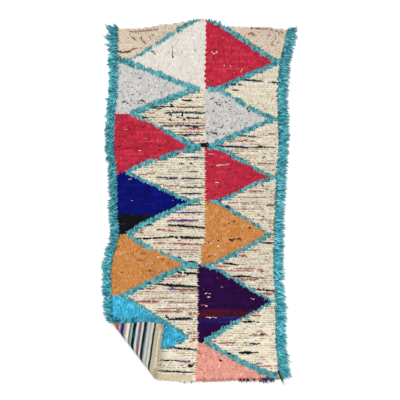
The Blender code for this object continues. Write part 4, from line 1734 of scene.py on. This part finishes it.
class RUG_OT_wisps(bpy.types.Operator):
    """Single fibres that stand out past the rim"""

    bl_idname = "rug.wisps"
    bl_label = "Rim wisps"

    def execute(self, context):
        rng = np.random.default_rng(SEEDS["wisps"])
        across, up, long, heading, thick, yarns = (np.array(column) for column in zip(*WISPS))
        count = len(across)
        tufts = Tufts(
            across=across,
            up=up,
            root=np.full(count, 4 * MM),
            heading=heading,
            length=long,
            height=rng.uniform(5, 8, count) * MM,
            tip=np.full(count, 0.3),
            width=thick,
            thick=thick * 0.8,
            curl=rng.normal(0.0, 0.12, count) * long,
            colour=np.concatenate([drawn(yarn, 1, rng) for yarn in yarns]),
        )
        piece = planted("rim_wisps", lock_shape(SHAG_LOCK, 5), tufts, wool("wisp_wool", 0.8), stiff=True)
        dressed(piece, "shag")
        return {"FINISHED"}


class RUG_OT_near_end(bpy.types.Operator):
    """The warp ends along the near end, with the loose yarn at its right corner"""

    bl_idname = "rug.near_end"
    bl_label = "Near end"

    def execute(self, context):
        rng = np.random.default_rng(SEEDS["near_end"])
        parts = []
        for run in END_RUNS:
            raised = TICK_RAISED if run.yarn == "tick" else 0.0
            for inset in END_INSETS:
                count = len(run.places)
                across = run.places + rng.uniform(-2, 2, count) * MM
                parts.append(
                    Tufts(
                        across=across,
                        up=along(NEAR_LINE, across) + inset,
                        root=np.full(count, END_ROOT + raised),
                        heading=DOWN + rng.normal(0.0, 0.3, count),
                        length=run.length * rng.uniform(0.6, 1.3, count) + END_OVERHANG,
                        height=rng.uniform(3.0, 5.0, count) * MM,
                        tip=np.full(count, 0.1),
                        width=rng.uniform(5.0, 7.0, count) * MM,
                        thick=rng.uniform(3.0, 4.5, count) * MM,
                        curl=rng.normal(0.0, 3 * MM, count),
                        colour=drawn(run.yarn, count, rng),
                    )
                )
        across, up, heading, length, height, tip, curl = (np.array(column) for column in zip(*LOOSE_YARN))
        count = len(across)
        parts.append(
            Tufts(
                across=across,
                up=up,
                root=np.full(count, 12 * MM),
                heading=heading,
                length=length,
                height=height,
                tip=tip,
                width=np.full(count, 6 * MM),
                thick=np.full(count, 4 * MM),
                curl=curl,
                colour=drawn("yarn_end", count, rng),
            )
        )
        tufts = joined(parts)
        piece = planted("near_end_warps", lock_shape(SHAG_LOCK, 6), tufts, wool("warp_cotton", 0.7))
        dressed(piece, "warp", "near_end_band")
        return {"FINISHED"}


FLOOR_HALF = 6.0
FLOOR_GAP = 0.3 * MM
Lamp = namedtuple("Lamp", "title place energy size")
LAMPS = (Lamp("key", (-1.6, 1.7, 2.6), 58.0, 2.2), Lamp("fill", (1.8, -1.2, 3.0), 36.0, 2.6))
SURROUND = 0.89

# The photo's side in pixels, times how much of the rug's plane one of them shows, and the camera
# straight above
PHOTO_SPAN = 400 * 4.905 * MM
CAMERA_PLACE = (3 * MM, 6 * MM, 6.0)


class RUG_OT_stage(bpy.types.Operator):
    """A plain pale floor, soft studio light and the camera straight above"""

    bl_idname = "rug.stage"
    bl_label = "Stage"

    def execute(self, context):
        scene = context.scene
        bm = bmesh.new()
        bmesh.ops.create_grid(bm, x_segments=1, y_segments=1, size=FLOOR_HALF)
        bmesh.ops.translate(bm, verts=bm.verts[:], vec=(0.0, 0.0, -FLOOR_GAP))
        mesh = bpy.data.meshes.new("floor")
        bm.to_mesh(mesh)
        bm.free()
        finish = Finish("pale_floor")
        mesh.materials.append(finish.set({"Base Color": (*scene.rug_colours.floor, 1.0), "Roughness": 0.9}))
        floor = placed("floor", mesh)
        for lamp in LAMPS:
            light = bpy.data.lights.new(lamp.title, "AREA")
            light.energy = lamp.energy
            light.size = lamp.size
            holder = bpy.data.objects.new(lamp.title, light)
            holder.location = lamp.place
            holder.rotation_euler = (-Vector(lamp.place)).to_track_quat("-Z", "Y").to_euler()
            scene.collection.objects.link(holder)
        world = bpy.data.worlds.new("studio")
        world.use_nodes = True
        background = world.node_tree.nodes["Background"]
        background.inputs["Color"].default_value = (1.0, 1.0, 1.0, 1.0)
        background.inputs["Strength"].default_value = SURROUND
        scene.world = world
        scene.view_settings.view_transform = "Standard"
        camera = bpy.data.cameras.new("camera")
        camera.sensor_width = 36.0
        camera.lens = camera.sensor_width * CAMERA_PLACE[2] / PHOTO_SPAN
        view = bpy.data.objects.new("camera", camera)
        view.location = CAMERA_PLACE
        scene.collection.objects.link(view)
        scene.camera = view
        return {"FINISHED"}


OPERATORS = (
    RUG_OT_ground,
    RUG_OT_pile,
    RUG_OT_outlines,
    RUG_OT_rags,
    RUG_OT_strands,
    RUG_OT_plain_ends,
    RUG_OT_shag,
    RUG_OT_near_end,
    RUG_OT_wisps,
    RUG_OT_stage,
)


class RUG_PT_panel(bpy.types.Panel):
    """Sizes, colours and pieces of the rug"""

    bl_idname = "RUG_PT_panel"
    bl_label = "Berber rug"
    bl_space_type = "VIEW_3D"
    bl_region_type = "UI"
    bl_category = "Rug"

    def draw(self, context):
        scene = context.scene
        for group in (scene.rug_sizes, scene.rug_colours):
            column = self.layout.column()
            for name in group.__annotations__:
                column.prop(group, name)
        for operator in OPERATORS:
            self.layout.operator(operator.bl_idname)


CLASSES = (RugSizes, RugColours, *OPERATORS, RUG_PT_panel)


def register():
    for cls in CLASSES:
        bpy.utils.register_class(cls)
    bpy.types.Scene.rug_sizes = PointerProperty(type=RugSizes)
    bpy.types.Scene.rug_colours = PointerProperty(type=RugColours)


def unregister():
    del bpy.types.Scene.rug_sizes
    del bpy.types.Scene.rug_colours
    for cls in reversed(CLASSES):
        bpy.utils.unregister_class(cls)


def main():
    register()
    for operator in OPERATORS:
        group, name = operator.bl_idname.split(".")
        getattr(getattr(bpy.ops, group), name)()


if __name__ == "__main__":
    main()
